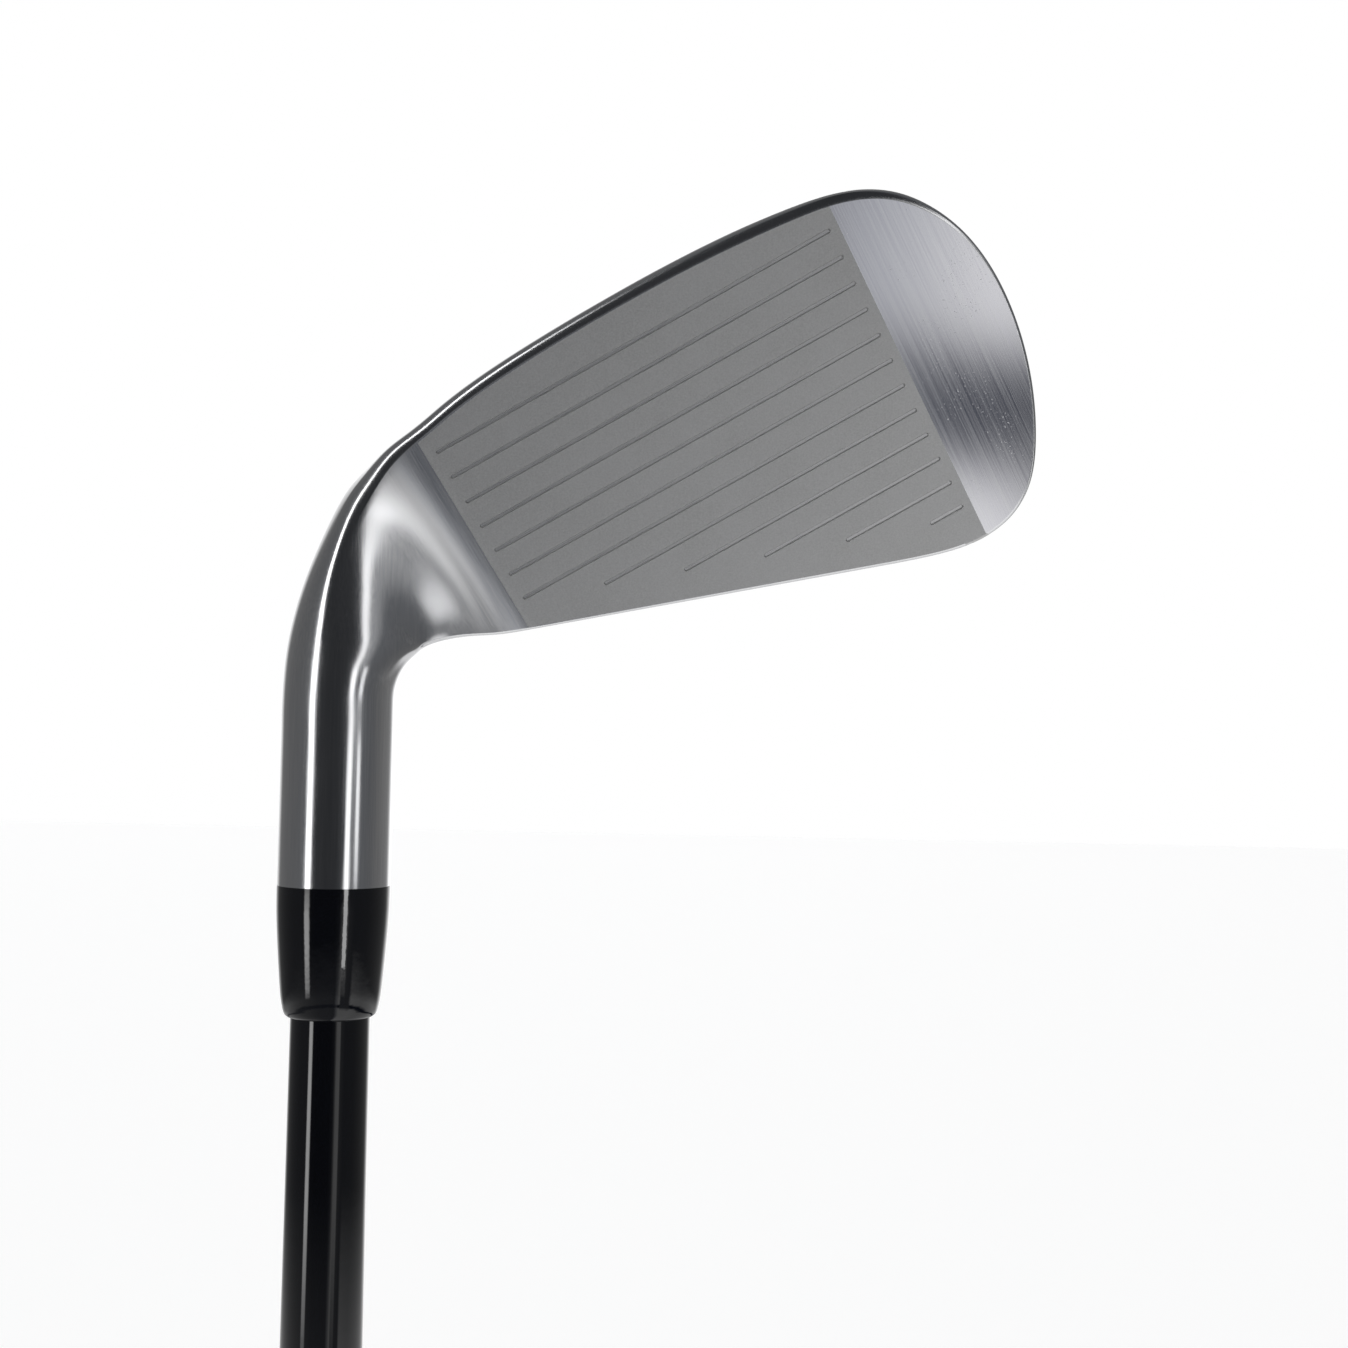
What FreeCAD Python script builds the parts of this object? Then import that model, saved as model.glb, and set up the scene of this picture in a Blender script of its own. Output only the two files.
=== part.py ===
import FreeCAD, Part
import Sketcher
import math
import os
from FreeCAD import Vector

# Iron golf club. Z runs down the shaft axis from the butt of the grip (0)
# to the head, the face looks to -Y and the toe points to +X.

doc = FreeCAD.newDocument("IronClub")

# ------------------------------------------------------------------ sizes
SIZES = [
    ("zero", 0.0),
    ("lie_angle", 60.0),
    ("loft_angle", 24.0),
    ("head_origin_z", 987.1),
    ("leading_edge_y", 4.3),
    ("hosel_radius", 6.87),
    ("hosel_end_z", 935.8),
    ("bore_radius", 4.9),
    ("bore_bottom_z", 967.3),
    ("shaft_tip_z", 965.8),
    ("shaft_tip_radius", 4.7),
    ("shaft_tip_wall_radius", 2.45),
    ("shaft_butt_z", 3.5),
    ("shaft_butt_radius", 7.62),
    ("shaft_butt_wall_radius", 6.42),
    ("shaft_radius_at_hosel", 4.791),
    ("shaft_radius_at_ferrule", 4.840),
    ("shaft_radius_at_grip_mouth", 6.822),
    ("ferrule_tail_z", 919.8),
    ("ferrule_round_z", 920.5),
    ("ferrule_lower_z", 921.7),
    ("ferrule_middle_z", 927.8),
    ("ferrule_shoulder_z", 933.1),
    ("ferrule_tail_radius", 5.1),
    ("ferrule_round_radius", 5.72),
    ("ferrule_lower_radius", 6.0),
    ("ferrule_middle_radius", 6.57),
    ("ferrule_radius", 6.9),
    ("pin_radius", 2.35),
    ("pin_length", 14.0),
    ("pin_flange", 1.5),
    ("pin_flange_radius", 4.6),
    ("tape_thickness", 0.15),
    ("grip_mouth_z", 268.0),
    ("grip_lip_z", 264.0),
    ("grip_taper_z", 262.5),
    ("grip_neck_z", 13.0),
    ("grip_head_z", 50.0),
    ("grip_start_z", 3.5),
    ("grip_inner_start", 7.77),
    ("grip_inner_mouth", 6.972),
    ("grip_radius_start", 14.9),
    ("grip_radius_neck", 13.2),
    ("grip_radius_head", 12.3),
    ("grip_radius_taper", 8.8),
    ("grip_radius_lip", 9.2),
    ("cap_radius", 14.9),
    ("cap_edge_radius", 13.6),
    ("cap_edge_z", 1.5),
    ("vent_radius", 1.6),
    ("face_thickness", 3.0),
    ("groove_pitch", 3.6),
    ("groove_first", 4.5),
    ("groove_width", 0.6),
    ("groove_depth", 0.4),
    ("badge_thickness", 1.2),
    ("badge_tape_thickness", 0.5),
]

sheet = doc.addObject("Spreadsheet::Sheet", "Sizes")
for number, (alias, value) in enumerate(SIZES, start=1):
    sheet.set("A%d" % number, alias)
    sheet.set("B%d" % number, repr(value))
    sheet.setAlias("B%d" % number, alias)
doc.recompute()


def size(alias):
    return float(sheet.get(alias))


# ------------------------------------------------------------ head frame
LIE = math.radians(size("lie_angle"))
LOFT = math.radians(size("loft_angle"))
ZERO = size("head_origin_z")
EDGE_Y = size("leading_edge_y")


def place(x, y, z):
    """Head axes (x to the toe, y to the target, z up) into the club's axes."""
    return Vector(
        x * math.sin(LIE) + z * math.cos(LIE),
        -y,
        ZERO + x * math.cos(LIE) - z * math.sin(LIE),
    )


def on_face(x, height, depth):
    """A point at a height up the face plane and a depth behind it."""
    y = EDGE_Y - height * math.sin(LOFT) - depth * math.cos(LOFT)
    z = height * math.cos(LOFT) - depth * math.sin(LOFT)
    return place(x, y, z)


def smooth(value):
    value = min(1.0, max(0.0, value))
    return value * value * (3.0 - 2.0 * value)


# ------------------------------------------------------- outline of the blade
# Between the hosel and the blade the sections fan out round a pivot above the
# heel. From HEEL_X on they stand square to the leading edge.
HEEL_X = -1.3
PIVOT_Z = 32.05
FAN_RADIUS = 8.03
FAN_ANGLE = 60.0
HEEL_LINE_X = 10.1

TOPLINE_X, TOPLINE_HEIGHT, TOPLINE_RISE = 19.0, 33.4, 0.36
TOPLINE_BEND_X = 7.0
LOWEST_X, LOWEST_HEIGHT = 40.5, -1.69
CAMBER_SPAN = 26.0
HEEL_CAMBER = (0.92, 0.33, 0.28)
TOE_CAMBER = (1.35, 0.55)


def top_height(x):
    """Height of the topline on the face: straight, and level where it meets the hosel."""
    if x >= TOPLINE_BEND_X:
        return TOPLINE_HEIGHT + TOPLINE_RISE * (x - TOPLINE_X)
    span = TOPLINE_BEND_X - HEEL_X
    part = (x - HEEL_X) / span
    low = (PIVOT_Z - FAN_RADIUS) / math.cos(LOFT)
    end = top_height(TOPLINE_BEND_X)
    return (
        low * (2 * part ** 3 - 3 * part ** 2 + 1)
        + end * (3 * part ** 2 - 2 * part ** 3)
        + TOPLINE_RISE * span * (part ** 3 - part ** 2)
    )


def bottom_height(x):
    """Height of the leading edge, which curves up to the heel and the toe."""
    camber = HEEL_CAMBER if x < LOWEST_X else TOE_CAMBER
    reach = ((x - LOWEST_X) / CAMBER_SPAN) ** 2
    return LOWEST_HEIGHT + sum(share * reach ** (k + 1) for k, share in enumerate(camber))


def waist_height(x):
    """Height at which the back is thickest."""
    return max(16.0, 0.45 * top_height(x) + 4.0)


def sole_width(x):
    return 16.0 + 3.5 * smooth((x - 5.0) / 60.0)


def ledge_rise(x):
    """Height of the upright band behind the sole."""
    return 5.8 + 2.4 * smooth((x - 10.0) / 50.0)


# ------------------------------------------------------- section outlines
# Each section runs round the head in six parts: face, leading edge, sole,
# trailing edge, back and topline.
EDGE_RADIUS = 1.5
GRIND_ALLOWANCE = 0.25
SOLE_FALL = math.radians(16.0)
SOLE_RISE = math.radians(9.0)
TRAIL_WIDTH = 2.0
TRAIL = ((1.35, 0.75), (2.0, 2.2))
WAIST_DEPTH = 8.6
RIM_DEPTH, RIM_DROP = 5.9, 0.3
CREST_DEPTHS, CREST_BULGE = (3.8, 1.6), 0.25


def face_pair(height, depth):
    """A point of the section as (setback, z) from a height up the face and a depth behind it."""
    return (
        height * math.sin(LOFT) + depth * math.cos(LOFT),
        height * math.cos(LOFT) - depth * math.sin(LOFT),
    )


def between(start, end, share_x, share_z):
    return (
        start[0] + (end[0] - start[0]) * share_x,
        start[1] + (end[1] - start[1]) * share_z,
    )


def blade_section(x):
    """Six lists of (setback, z) pairs, the setback counted from the leading edge."""
    top, low = top_height(x), bottom_height(x)
    proud = GRIND_ALLOWANCE * smooth((x - HEEL_X) / 8.0)
    turn = math.acos(math.sin(SOLE_FALL - LOFT))
    tangent = low + EDGE_RADIUS * math.tan(turn / 2)
    face = [face_pair(top + (tangent - top) * k / 6.0, -proud) for k in range(7)]
    centre = face_pair(tangent, EDGE_RADIUS)
    edge = []
    for k in range(5):
        angle = math.pi - LOFT + turn * k / 4.0
        reach = EDGE_RADIUS + proud * (1.0 - k / 4.0) ** 2
        edge.append((centre[0] + reach * math.cos(angle), centre[1] + reach * math.sin(angle)))
    # the sole falls at first, levels out and then rises
    begin = edge[-1]
    length = sole_width(x) - begin[0] - TRAIL_WIDTH
    falling, rising = -math.tan(SOLE_FALL), math.tan(SOLE_RISE)
    sole = []
    for k in range(7):
        part = k / 6.0
        fall = falling * part + (rising - falling) * part ** 2 / 2.0
        sole.append((begin[0] + length * part, begin[1] + length * fall))
    last = sole[-1]
    ledge = (last[0] + TRAIL_WIDTH + 0.1, last[1] + ledge_rise(x))
    trail = [last] + [(last[0] + across, last[1] + up) for across, up in TRAIL] + [ledge]
    waist = face_pair(waist_height(x), WAIST_DEPTH)
    rim = face_pair(top - RIM_DROP, RIM_DEPTH)
    back = [ledge, between(ledge, waist, 0.04, 0.25), between(ledge, waist, 0.38, 0.58)]
    back += [between(waist, rim, k / 3.0, k / 3.0) for k in range(4)]
    crest = [rim] + [face_pair(top + CREST_BULGE, depth) for depth in CREST_DEPTHS]
    crest.append(face_pair(top, -proud))
    return [face, edge, sole, trail, back, crest]


# where each part starts and ends round the hosel, in degrees, and its points
ARCS = [(25, 150, 7), (150, 170, 5), (170, 225, 7), (225, 250, 4), (250, 335, 7), (335, 385, 4)]


def round_section(reach_in, reach_out):
    """Six arcs of an ellipse as (side, reach) pairs."""
    middle = (reach_in + reach_out) / 2.0
    half = (reach_out - reach_in) / 2.0
    parts = []
    for start, end, count in ARCS:
        part = []
        for k in range(count):
            angle = math.radians(start + (end - start) * k / (count - 1.0))
            part.append((size("hosel_radius") * math.sin(angle), middle - half * math.cos(angle)))
        parts.append(part)
    return parts


# the outline turns from round into the blade's own shape along the heel
FAN_LENGTH = 16.8
BLEND_START, BLEND_END = 8.0, 28.2


def blend_weight(distance):
    """0 for round and 1 for the blade's shape, at a distance from the bend."""
    return smooth((distance - BLEND_START) / (BLEND_END - BLEND_START))


def heel_reach(angle):
    """Distance from the pivot to the outside of the bend."""
    part = angle / FAN_ANGLE
    return 21.77 + 6.03 * part ** 2 + 1.47 * part ** 4


def mixed(weight, round_parts, blade_parts):
    parts = []
    for ring, blade in zip(round_parts, blade_parts):
        parts.append([between(a, b, weight, weight) for a, b in zip(ring, blade)])
    return parts


def fan_section(angle):
    """The section turned by angle from square to the shaft towards the blade."""
    reach_out = heel_reach(angle)
    ring = round_section(FAN_RADIUS, reach_out)
    low = PIVOT_Z - heel_reach(FAN_ANGLE)
    high = PIVOT_Z - FAN_RADIUS
    scale = (reach_out - FAN_RADIUS) / (high - low)
    blade = []
    for part in blade_section(HEEL_X):
        blade.append([(EDGE_Y - back, FAN_RADIUS + (high - z) * scale) for back, z in part])
    turn = LIE - math.radians(angle)
    points = []
    for part in mixed(blend_weight(FAN_LENGTH * angle / FAN_ANGLE), ring, blade):
        row = []
        for side, reach in part:
            x = HEEL_X - reach * math.sin(turn)
            z = PIVOT_Z - reach * math.cos(turn)
            row.append(place(x, side, z))
        points.append(row)
    return points


def cross_section(x):
    """The section square to the leading edge at x."""
    blade = [[(EDGE_Y - back, z) for back, z in part] for part in blade_section(x)]
    weight = blend_weight(FAN_LENGTH + x - HEEL_X)
    if weight < 1.0:
        low = 5.87 * math.exp((HEEL_X - x) / 11.0) - 3.2
        high = top_height(x) * math.cos(LOFT)
        ring = round_section(-high, -low)
        ring = [[(side, -reach) for side, reach in part] for part in ring]
        blade = mixed(weight, ring, blade)
    return [[place(x, side, z) for side, z in part] for part in blade]


def hosel_section(z):
    points = []
    for part in round_section(-size("hosel_radius"), size("hosel_radius")):
        points.append([Vector(-reach, -side, z) for side, reach in part])
    return points


def section_wire(parts):
    edges = []
    for part in parts:
        curve = Part.BSplineCurve()
        curve.interpolate(part)
        edges.append(curve.toShape())
    return Part.Wire(edges)


# the hosel's straight part starts short of its end, which is faced off later
HOSEL_STEPS = 8
HOSEL_SPARE = 8.0
BEND_Z = ZERO - 28.41
hosel_pitch = (BEND_Z - size("hosel_end_z") + HOSEL_SPARE) / HOSEL_STEPS
sections = [hosel_section(BEND_Z - hosel_pitch * k) for k in range(HOSEL_STEPS, 0, -1)]
sections += [fan_section(FAN_ANGLE * k / 5.0) for k in range(6)]
sections += [cross_section(2.5 + 3.8 * k) for k in range(4)]
sections += [cross_section(18.0 + 7.0 * k) for k in range(11)]


def face_curve(points, depth):
    """A smooth curve through (x, height) points at a depth behind the face."""
    curve = Part.BSplineCurve()
    curve.interpolate([on_face(x, height, depth) for x, height in points])
    return curve.toShape()


def through_face(wire, start, depth):
    """Push a face-plane wire square to the face from one depth to another."""
    flat = Part.Face(wire)
    flat.translate(on_face(0, 0, start) - on_face(0, 0, 0))
    return flat.extrude(on_face(0, 0, depth) - on_face(0, 0, start))


def rounded_outline(corners):
    """A closed wire on the face plane from (x, height, corner radius), with straight sides."""
    count = len(corners)
    ends = []
    for k in range(count):
        x, height, radius = corners[k]
        here = on_face(x, height, 0)
        before = on_face(corners[k - 1][0], corners[k - 1][1], 0) - here
        after = on_face(corners[(k + 1) % count][0], corners[(k + 1) % count][1], 0) - here
        before.normalize()
        after.normalize()
        half = math.acos(before.dot(after)) / 2.0
        reach = radius / math.tan(half)
        middle = before + after
        middle.normalize()
        top = here + middle * (radius / math.sin(half) - radius)
        ends.append((here + before * reach, top, here + after * reach))
    edges = []
    for k in range(count):
        edges.append(Part.Arc(*ends[k]).toShape())
        edges.append(Part.makeLine(ends[k][2], ends[(k + 1) % count][0]))
    return Part.Wire(edges)


# --------------------------------------------------------------- the head
body = Part.makeLoft([section_wire(parts) for parts in sections], True, False)

# the toe is trimmed by a prism that clears the whole head on its other sides
TOE = [
    (66.0, -0.9), (71.5, 1.6), (78.0, 6.2), (82.2, 14.6), (83.2, 22.5),
    (81.6, 34.6), (76.2, 45.8), (69.5, 49.5), (62.0, 48.9), (56.0, 49.2),
]
CLEAR_FRONT, CLEAR_BACK = -60.0, 50.0
CLEAR_HEEL, CLEAR_TOE = -60.0, 110.0
CLEAR_LOW, CLEAR_HIGH = -40.0, 90.0
toe_edge = face_curve(TOE, CLEAR_FRONT)
corners = [
    TOE[-1], (TOE[-1][0], CLEAR_HIGH), (CLEAR_HEEL, CLEAR_HIGH),
    (CLEAR_HEEL, CLEAR_LOW), (TOE[0][0], CLEAR_LOW), TOE[0],
]
sides = [
    Part.makeLine(on_face(*here, CLEAR_FRONT), on_face(*there, CLEAR_FRONT))
    for here, there in zip(corners[:-1], corners[1:])
]
keep = Part.Face(Part.Wire(Part.__sortEdges__([toe_edge] + sides)))
keep = keep.extrude(on_face(0, 0, CLEAR_BACK) - on_face(0, 0, CLEAR_FRONT))
head = body.common(keep)

# the hitting face is ground flat from the heel line to the toe
ground = [
    (HEEL_LINE_X, CLEAR_LOW), (CLEAR_TOE, CLEAR_LOW),
    (CLEAR_TOE, CLEAR_HIGH), (HEEL_LINE_X, CLEAR_HIGH),
]
ahead = Part.makePolygon([on_face(x, height, 0.0) for x, height in ground + ground[:1]])
head = head.cut(through_face(ahead, 0.0, CLEAR_FRONT))

CLEAR_RADIUS, CLEAR_LENGTH = 20.0, 40.0
BORE_OVERRUN = 2.0
spare = Part.makeCylinder(
    CLEAR_RADIUS, CLEAR_LENGTH, Vector(0, 0, size("hosel_end_z") - CLEAR_LENGTH)
)
head = head.cut(spare)

bore = Part.makeCylinder(
    size("bore_radius"),
    size("bore_bottom_z") - size("hosel_end_z") + BORE_OVERRUN,
    Vector(0, 0, size("hosel_end_z") - BORE_OVERRUN),
)
head = head.cut(bore)

# the cavity in the back and the shelf above the sole
CAVITY = [
    (17.0, 14.5, 3.0), (60.0, 13.5, 8.0), (74.5, 16.5, 9.0), (76.5, 30.0, 9.0),
    (69.5, 43.4, 7.0), (62.0, 42.8, 8.0), (19.0, 27.3, 3.0),
]
cavity = through_face(rounded_outline(CAVITY), size("face_thickness"), CLEAR_BACK)
head = head.cut(cavity)

# scorelines: the lower ones run the whole way and the upper ones start ever further out
LONG_START = 11.4
LONG_LINES = 7
SHORT_STARTS = (21.3, 31.1, 41.0, 51.3, 62.0)
GROOVE_END = 66.9
GROOVE_OVERRUN = 0.2
grooves = []
for line, start in enumerate((LONG_START,) * LONG_LINES + SHORT_STARTS):
    height = size("groove_first") + size("groove_pitch") * line
    half = size("groove_width") / 2.0
    profile = [
        on_face(start, height - half, -GROOVE_OVERRUN), on_face(start, height - half, 0.0),
        on_face(start, height - half / 2, size("groove_depth")),
        on_face(start, height + half / 2, size("groove_depth")),
        on_face(start, height + half, 0.0), on_face(start, height + half, -GROOVE_OVERRUN),
    ]
    cutter = Part.Face(Part.makePolygon(profile + profile[:1]))
    grooves.append(cutter.extrude(on_face(GROOVE_END, 0, 0) - on_face(start, 0, 0)))
head = head.cut(grooves)

head_part = doc.addObject("Part::Feature", "Head")
head_part.Label = "head"
head_part.Shape = head


# -------------------------------------------------- badge inside the cavity
BADGE = [
    (21.0, 15.8, 2.0), (60.0, 15.0, 6.0), (72.6, 18.0, 7.0), (74.2, 29.0, 7.0),
    (70.0, 34.5, 5.0), (23.0, 24.4, 2.5),
]


def badge_layer(name, label, start, depth):
    layer = doc.addObject("Part::Feature", name)
    layer.Label = label
    layer.Shape = through_face(rounded_outline(BADGE), start, depth)
    return layer


floor = size("face_thickness")
tape_top = floor + size("badge_tape_thickness")
badge_tape = badge_layer("BadgeTape", "badge_tape", floor, tape_top)
badge = badge_layer("Badge", "cavity_badge", tape_top, tape_top + size("badge_thickness"))


# --------------------------------------- turned parts, all on the shaft axis
def revolved(name, label, corners):
    """A body turned from a profile of (radius, z) corners named in the sheet."""
    turned = doc.addObject("PartDesign::Body", name)
    turned.Label = label
    plane = [f for f in turned.Origin.OriginFeatures if f.Role == "XZ_Plane"][0]
    sketch = turned.newObject("Sketcher::SketchObject", name + "Profile")
    sketch.AttachmentSupport = [(plane, "")]
    sketch.MapMode = "FlatFace"
    places = [Vector(size(radius), size(z), 0) for radius, z in corners]
    for here, there in zip(places, places[1:] + places[:1]):
        sketch.addGeometry(Part.LineSegment(here, there), False)
    count = len(corners)
    for k in range(count):
        sketch.addConstraint(Sketcher.Constraint("Coincident", k, 2, (k + 1) % count, 1))
    for k, (radius, z) in enumerate(corners):
        for kind, alias in (("DistanceX", radius), ("DistanceY", z)):
            row = sketch.addConstraint(Sketcher.Constraint(kind, -1, 1, k, 1, size(alias)))
            sketch.setExpression("Constraints[%d]" % row, "Sizes." + alias)
    turn = turned.newObject("PartDesign::Revolution", name + "Turn")
    turn.Profile = sketch
    turn.ReferenceAxis = (sketch, ["V_Axis"])
    turn.Angle = 360.0
    doc.recompute()
    return turned


ferrule = revolved("Ferrule", "ferrule", [
    ("shaft_radius_at_ferrule", "ferrule_tail_z"),
    ("ferrule_tail_radius", "ferrule_tail_z"),
    ("ferrule_round_radius", "ferrule_round_z"),
    ("ferrule_lower_radius", "ferrule_lower_z"),
    ("ferrule_middle_radius", "ferrule_middle_z"),
    ("ferrule_radius", "ferrule_shoulder_z"),
    ("ferrule_radius", "hosel_end_z"),
    ("shaft_radius_at_hosel", "hosel_end_z"),
])

grip = revolved("Grip", "grip", [
    ("grip_inner_start", "grip_start_z"),
    ("grip_radius_start", "grip_start_z"),
    ("grip_radius_neck", "grip_neck_z"),
    ("grip_radius_head", "grip_head_z"),
    ("grip_radius_taper", "grip_taper_z"),
    ("grip_radius_lip", "grip_lip_z"),
    ("grip_radius_lip", "grip_mouth_z"),
    ("grip_inner_mouth", "grip_mouth_z"),
])


def cone(name, start_radius, end_radius, start_z, end_z):
    """A cone along the shaft axis, its sizes bound to the sheet."""
    solid = doc.addObject("Part::Cone", name)
    solid.setExpression("Radius1", "Sizes." + start_radius)
    solid.setExpression("Radius2", "Sizes." + end_radius)
    solid.setExpression("Height", "Sizes.%s - Sizes.%s" % (end_z, start_z))
    solid.setExpression("Placement.Base.z", "Sizes." + start_z)
    return solid


def tube(name, label, outer, inner):
    cut = doc.addObject("Part::Cut", name)
    cut.Label = label
    cut.Base = outer
    cut.Tool = inner
    return cut


shaft = tube(
    "Shaft", "shaft",
    cone("ShaftOuter", "shaft_butt_radius", "shaft_tip_radius", "shaft_butt_z", "shaft_tip_z"),
    cone("ShaftBore", "shaft_butt_wall_radius", "shaft_tip_wall_radius",
         "shaft_butt_z", "shaft_tip_z"),
)

grip_tape = tube(
    "GripTape", "grip_tape",
    cone("TapeOuter", "grip_inner_start", "grip_inner_mouth", "grip_start_z", "grip_mouth_z"),
    cone("TapeInner", "shaft_butt_radius", "shaft_radius_at_grip_mouth",
         "grip_start_z", "grip_mouth_z"),
)

epoxy_outer = doc.addObject("Part::Cylinder", "EpoxyOuter")
epoxy_outer.setExpression("Radius", "Sizes.bore_radius")
epoxy_outer.setExpression("Height", "Sizes.shaft_tip_z - Sizes.hosel_end_z")
epoxy_outer.setExpression("Placement.Base.z", "Sizes.hosel_end_z")
epoxy = tube(
    "HoselEpoxy", "hosel_epoxy",
    epoxy_outer,
    cone("EpoxyInner", "shaft_radius_at_hosel", "shaft_tip_radius",
         "hosel_end_z", "shaft_tip_z"),
)

pin = doc.addObject("Part::Cylinder", "TipPin")
pin.setExpression("Radius", "Sizes.pin_radius")
pin.setExpression("Height", "Sizes.pin_length")
pin.setExpression("Placement.Base.z", "Sizes.shaft_tip_z - Sizes.pin_length")
flange = doc.addObject("Part::Cylinder", "TipFlange")
flange.setExpression("Radius", "Sizes.pin_flange_radius")
flange.setExpression("Height", "Sizes.pin_flange")
flange.setExpression("Placement.Base.z", "Sizes.shaft_tip_z")
tip_weight = doc.addObject("Part::Fuse", "TipWeight")
tip_weight.Label = "tip_weight"
tip_weight.Base = pin
tip_weight.Tool = flange

cap_edge = cone("CapEdge", "cap_edge_radius", "cap_radius", "zero", "cap_edge_z")
cap_disc = cone("CapDisc", "cap_radius", "cap_radius", "cap_edge_z", "grip_start_z")
cap_solid = doc.addObject("Part::Fuse", "CapSolid")
cap_solid.Base = cap_edge
cap_solid.Tool = cap_disc
vent = doc.addObject("Part::Cylinder", "Vent")
vent.setExpression("Radius", "Sizes.vent_radius")
vent.setExpression("Height", "Sizes.grip_start_z")
grip_cap = tube("GripCap", "grip_cap", cap_solid, vent)

doc.recompute()

# ------------------------------------------------------------------ export
NODES = [
    head_part, ferrule, shaft, tip_weight, epoxy,
    grip, grip_tape, grip_cap, badge, badge_tape,
]

for item in doc.Objects:
    if "Invalid" in item.State or "Error" in item.State:
        raise RuntimeError("%s failed: %s" % (item.Label, item.State))
for node in NODES:
    if node.Shape.isNull() or not node.Shape.isValid():
        raise RuntimeError("%s has no valid shape" % node.Label)

os.makedirs("parts", exist_ok=True)
for node in NODES:
    node.Shape.exportStep("parts/%s.step" % node.Label)
    print(node.Label, "%.3f cm3" % (node.Shape.Volume / 1000.0))
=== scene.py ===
import bmesh
import bpy
import math
import numpy as np
from mathutils import Matrix, Vector


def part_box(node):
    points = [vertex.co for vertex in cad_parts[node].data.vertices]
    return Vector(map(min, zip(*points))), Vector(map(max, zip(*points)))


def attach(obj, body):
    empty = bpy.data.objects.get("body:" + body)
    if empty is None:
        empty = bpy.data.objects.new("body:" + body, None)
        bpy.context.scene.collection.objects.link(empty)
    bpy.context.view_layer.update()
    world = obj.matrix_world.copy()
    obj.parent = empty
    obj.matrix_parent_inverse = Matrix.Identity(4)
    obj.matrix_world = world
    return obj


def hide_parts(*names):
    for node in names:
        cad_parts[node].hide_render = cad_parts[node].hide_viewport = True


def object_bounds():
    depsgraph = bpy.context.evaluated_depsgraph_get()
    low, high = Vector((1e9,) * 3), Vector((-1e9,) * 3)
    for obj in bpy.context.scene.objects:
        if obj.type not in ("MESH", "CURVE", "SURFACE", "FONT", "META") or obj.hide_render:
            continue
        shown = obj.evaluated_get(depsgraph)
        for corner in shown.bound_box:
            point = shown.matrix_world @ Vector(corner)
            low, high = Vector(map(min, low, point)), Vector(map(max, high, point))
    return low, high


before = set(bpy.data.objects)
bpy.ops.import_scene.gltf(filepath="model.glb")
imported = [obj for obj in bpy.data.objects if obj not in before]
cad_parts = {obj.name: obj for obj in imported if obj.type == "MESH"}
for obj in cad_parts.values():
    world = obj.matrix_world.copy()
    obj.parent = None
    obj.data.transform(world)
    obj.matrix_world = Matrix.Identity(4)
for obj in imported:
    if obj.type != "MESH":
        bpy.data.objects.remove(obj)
cad_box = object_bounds()

MM = 0.001

# ---- landmarks ----
ferrule_low, ferrule_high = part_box("ferrule")
grip_low, grip_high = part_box("grip")
HOSEL_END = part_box("head")[0][2]
# the point of the shaft axis level with the leading edge
HOSEL_REACH = 51.3
HEAD_ORIGIN = Vector((0.0, 0.0, HOSEL_END + HOSEL_REACH * MM))


def add_object(name, data):
    """A new object in the scene that shows a mesh, a lamp or a camera."""
    made = bpy.data.objects.new(name, data)
    bpy.context.scene.collection.objects.link(made)
    return made


# ---- camera ----
def make_camera():
    data = bpy.data.cameras.new("camera")
    camera = add_object("camera", data)
    forward = Vector((-0.0642, 0.9968, 0.0482)).normalized()
    up = Vector((-0.01476, -0.04923, 0.99868))
    right = forward.cross(up).normalized()
    up = right.cross(forward)
    turn = Matrix((right, up, -forward)).transposed()
    place = HEAD_ORIGIN + Vector((54.91, -205.93, -34.55)) * MM
    camera.matrix_world = Matrix.Translation(place) @ turn.to_4x4()
    data.sensor_width = 36.0
    data.lens = 44.95
    data.clip_start = 0.01
    data.clip_end = 100.0
    bpy.context.scene.camera = camera


make_camera()


# ---- the head's axes ----
# x runs from heel to toe, y to the target and z up, in millimetres.
LIE = math.radians(60.0)
LOFT = math.radians(24.0)
EDGE_Y = 4.3
SOLE_DROP = 2.0
SIN, COS = math.sin(LOFT), math.cos(LOFT)


def place(points):
    """Head axes in millimetres to the club's axes in metres."""
    p = np.asarray(points, float)
    x, y, z = p[..., 0], p[..., 1], p[..., 2]
    out = np.stack([
        x * math.sin(LIE) + z * math.cos(LIE),
        -y,
        x * math.cos(LIE) - z * math.sin(LIE),
    ], axis=-1) * MM
    out[..., 2] += HEAD_ORIGIN.z
    return out


def from_face(x, height, depth):
    """Points at a height up the face plane and a depth behind it, in head axes."""
    x, height, depth = np.broadcast_arrays(x, height, depth)
    y = EDGE_Y - height * SIN - depth * COS
    z = height * COS - depth * SIN
    return np.stack([x, y, z], axis=-1)


def smooth(value):
    value = np.clip(value, 0.0, 1.0)
    return value * value * (3.0 - 2.0 * value)


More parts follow.
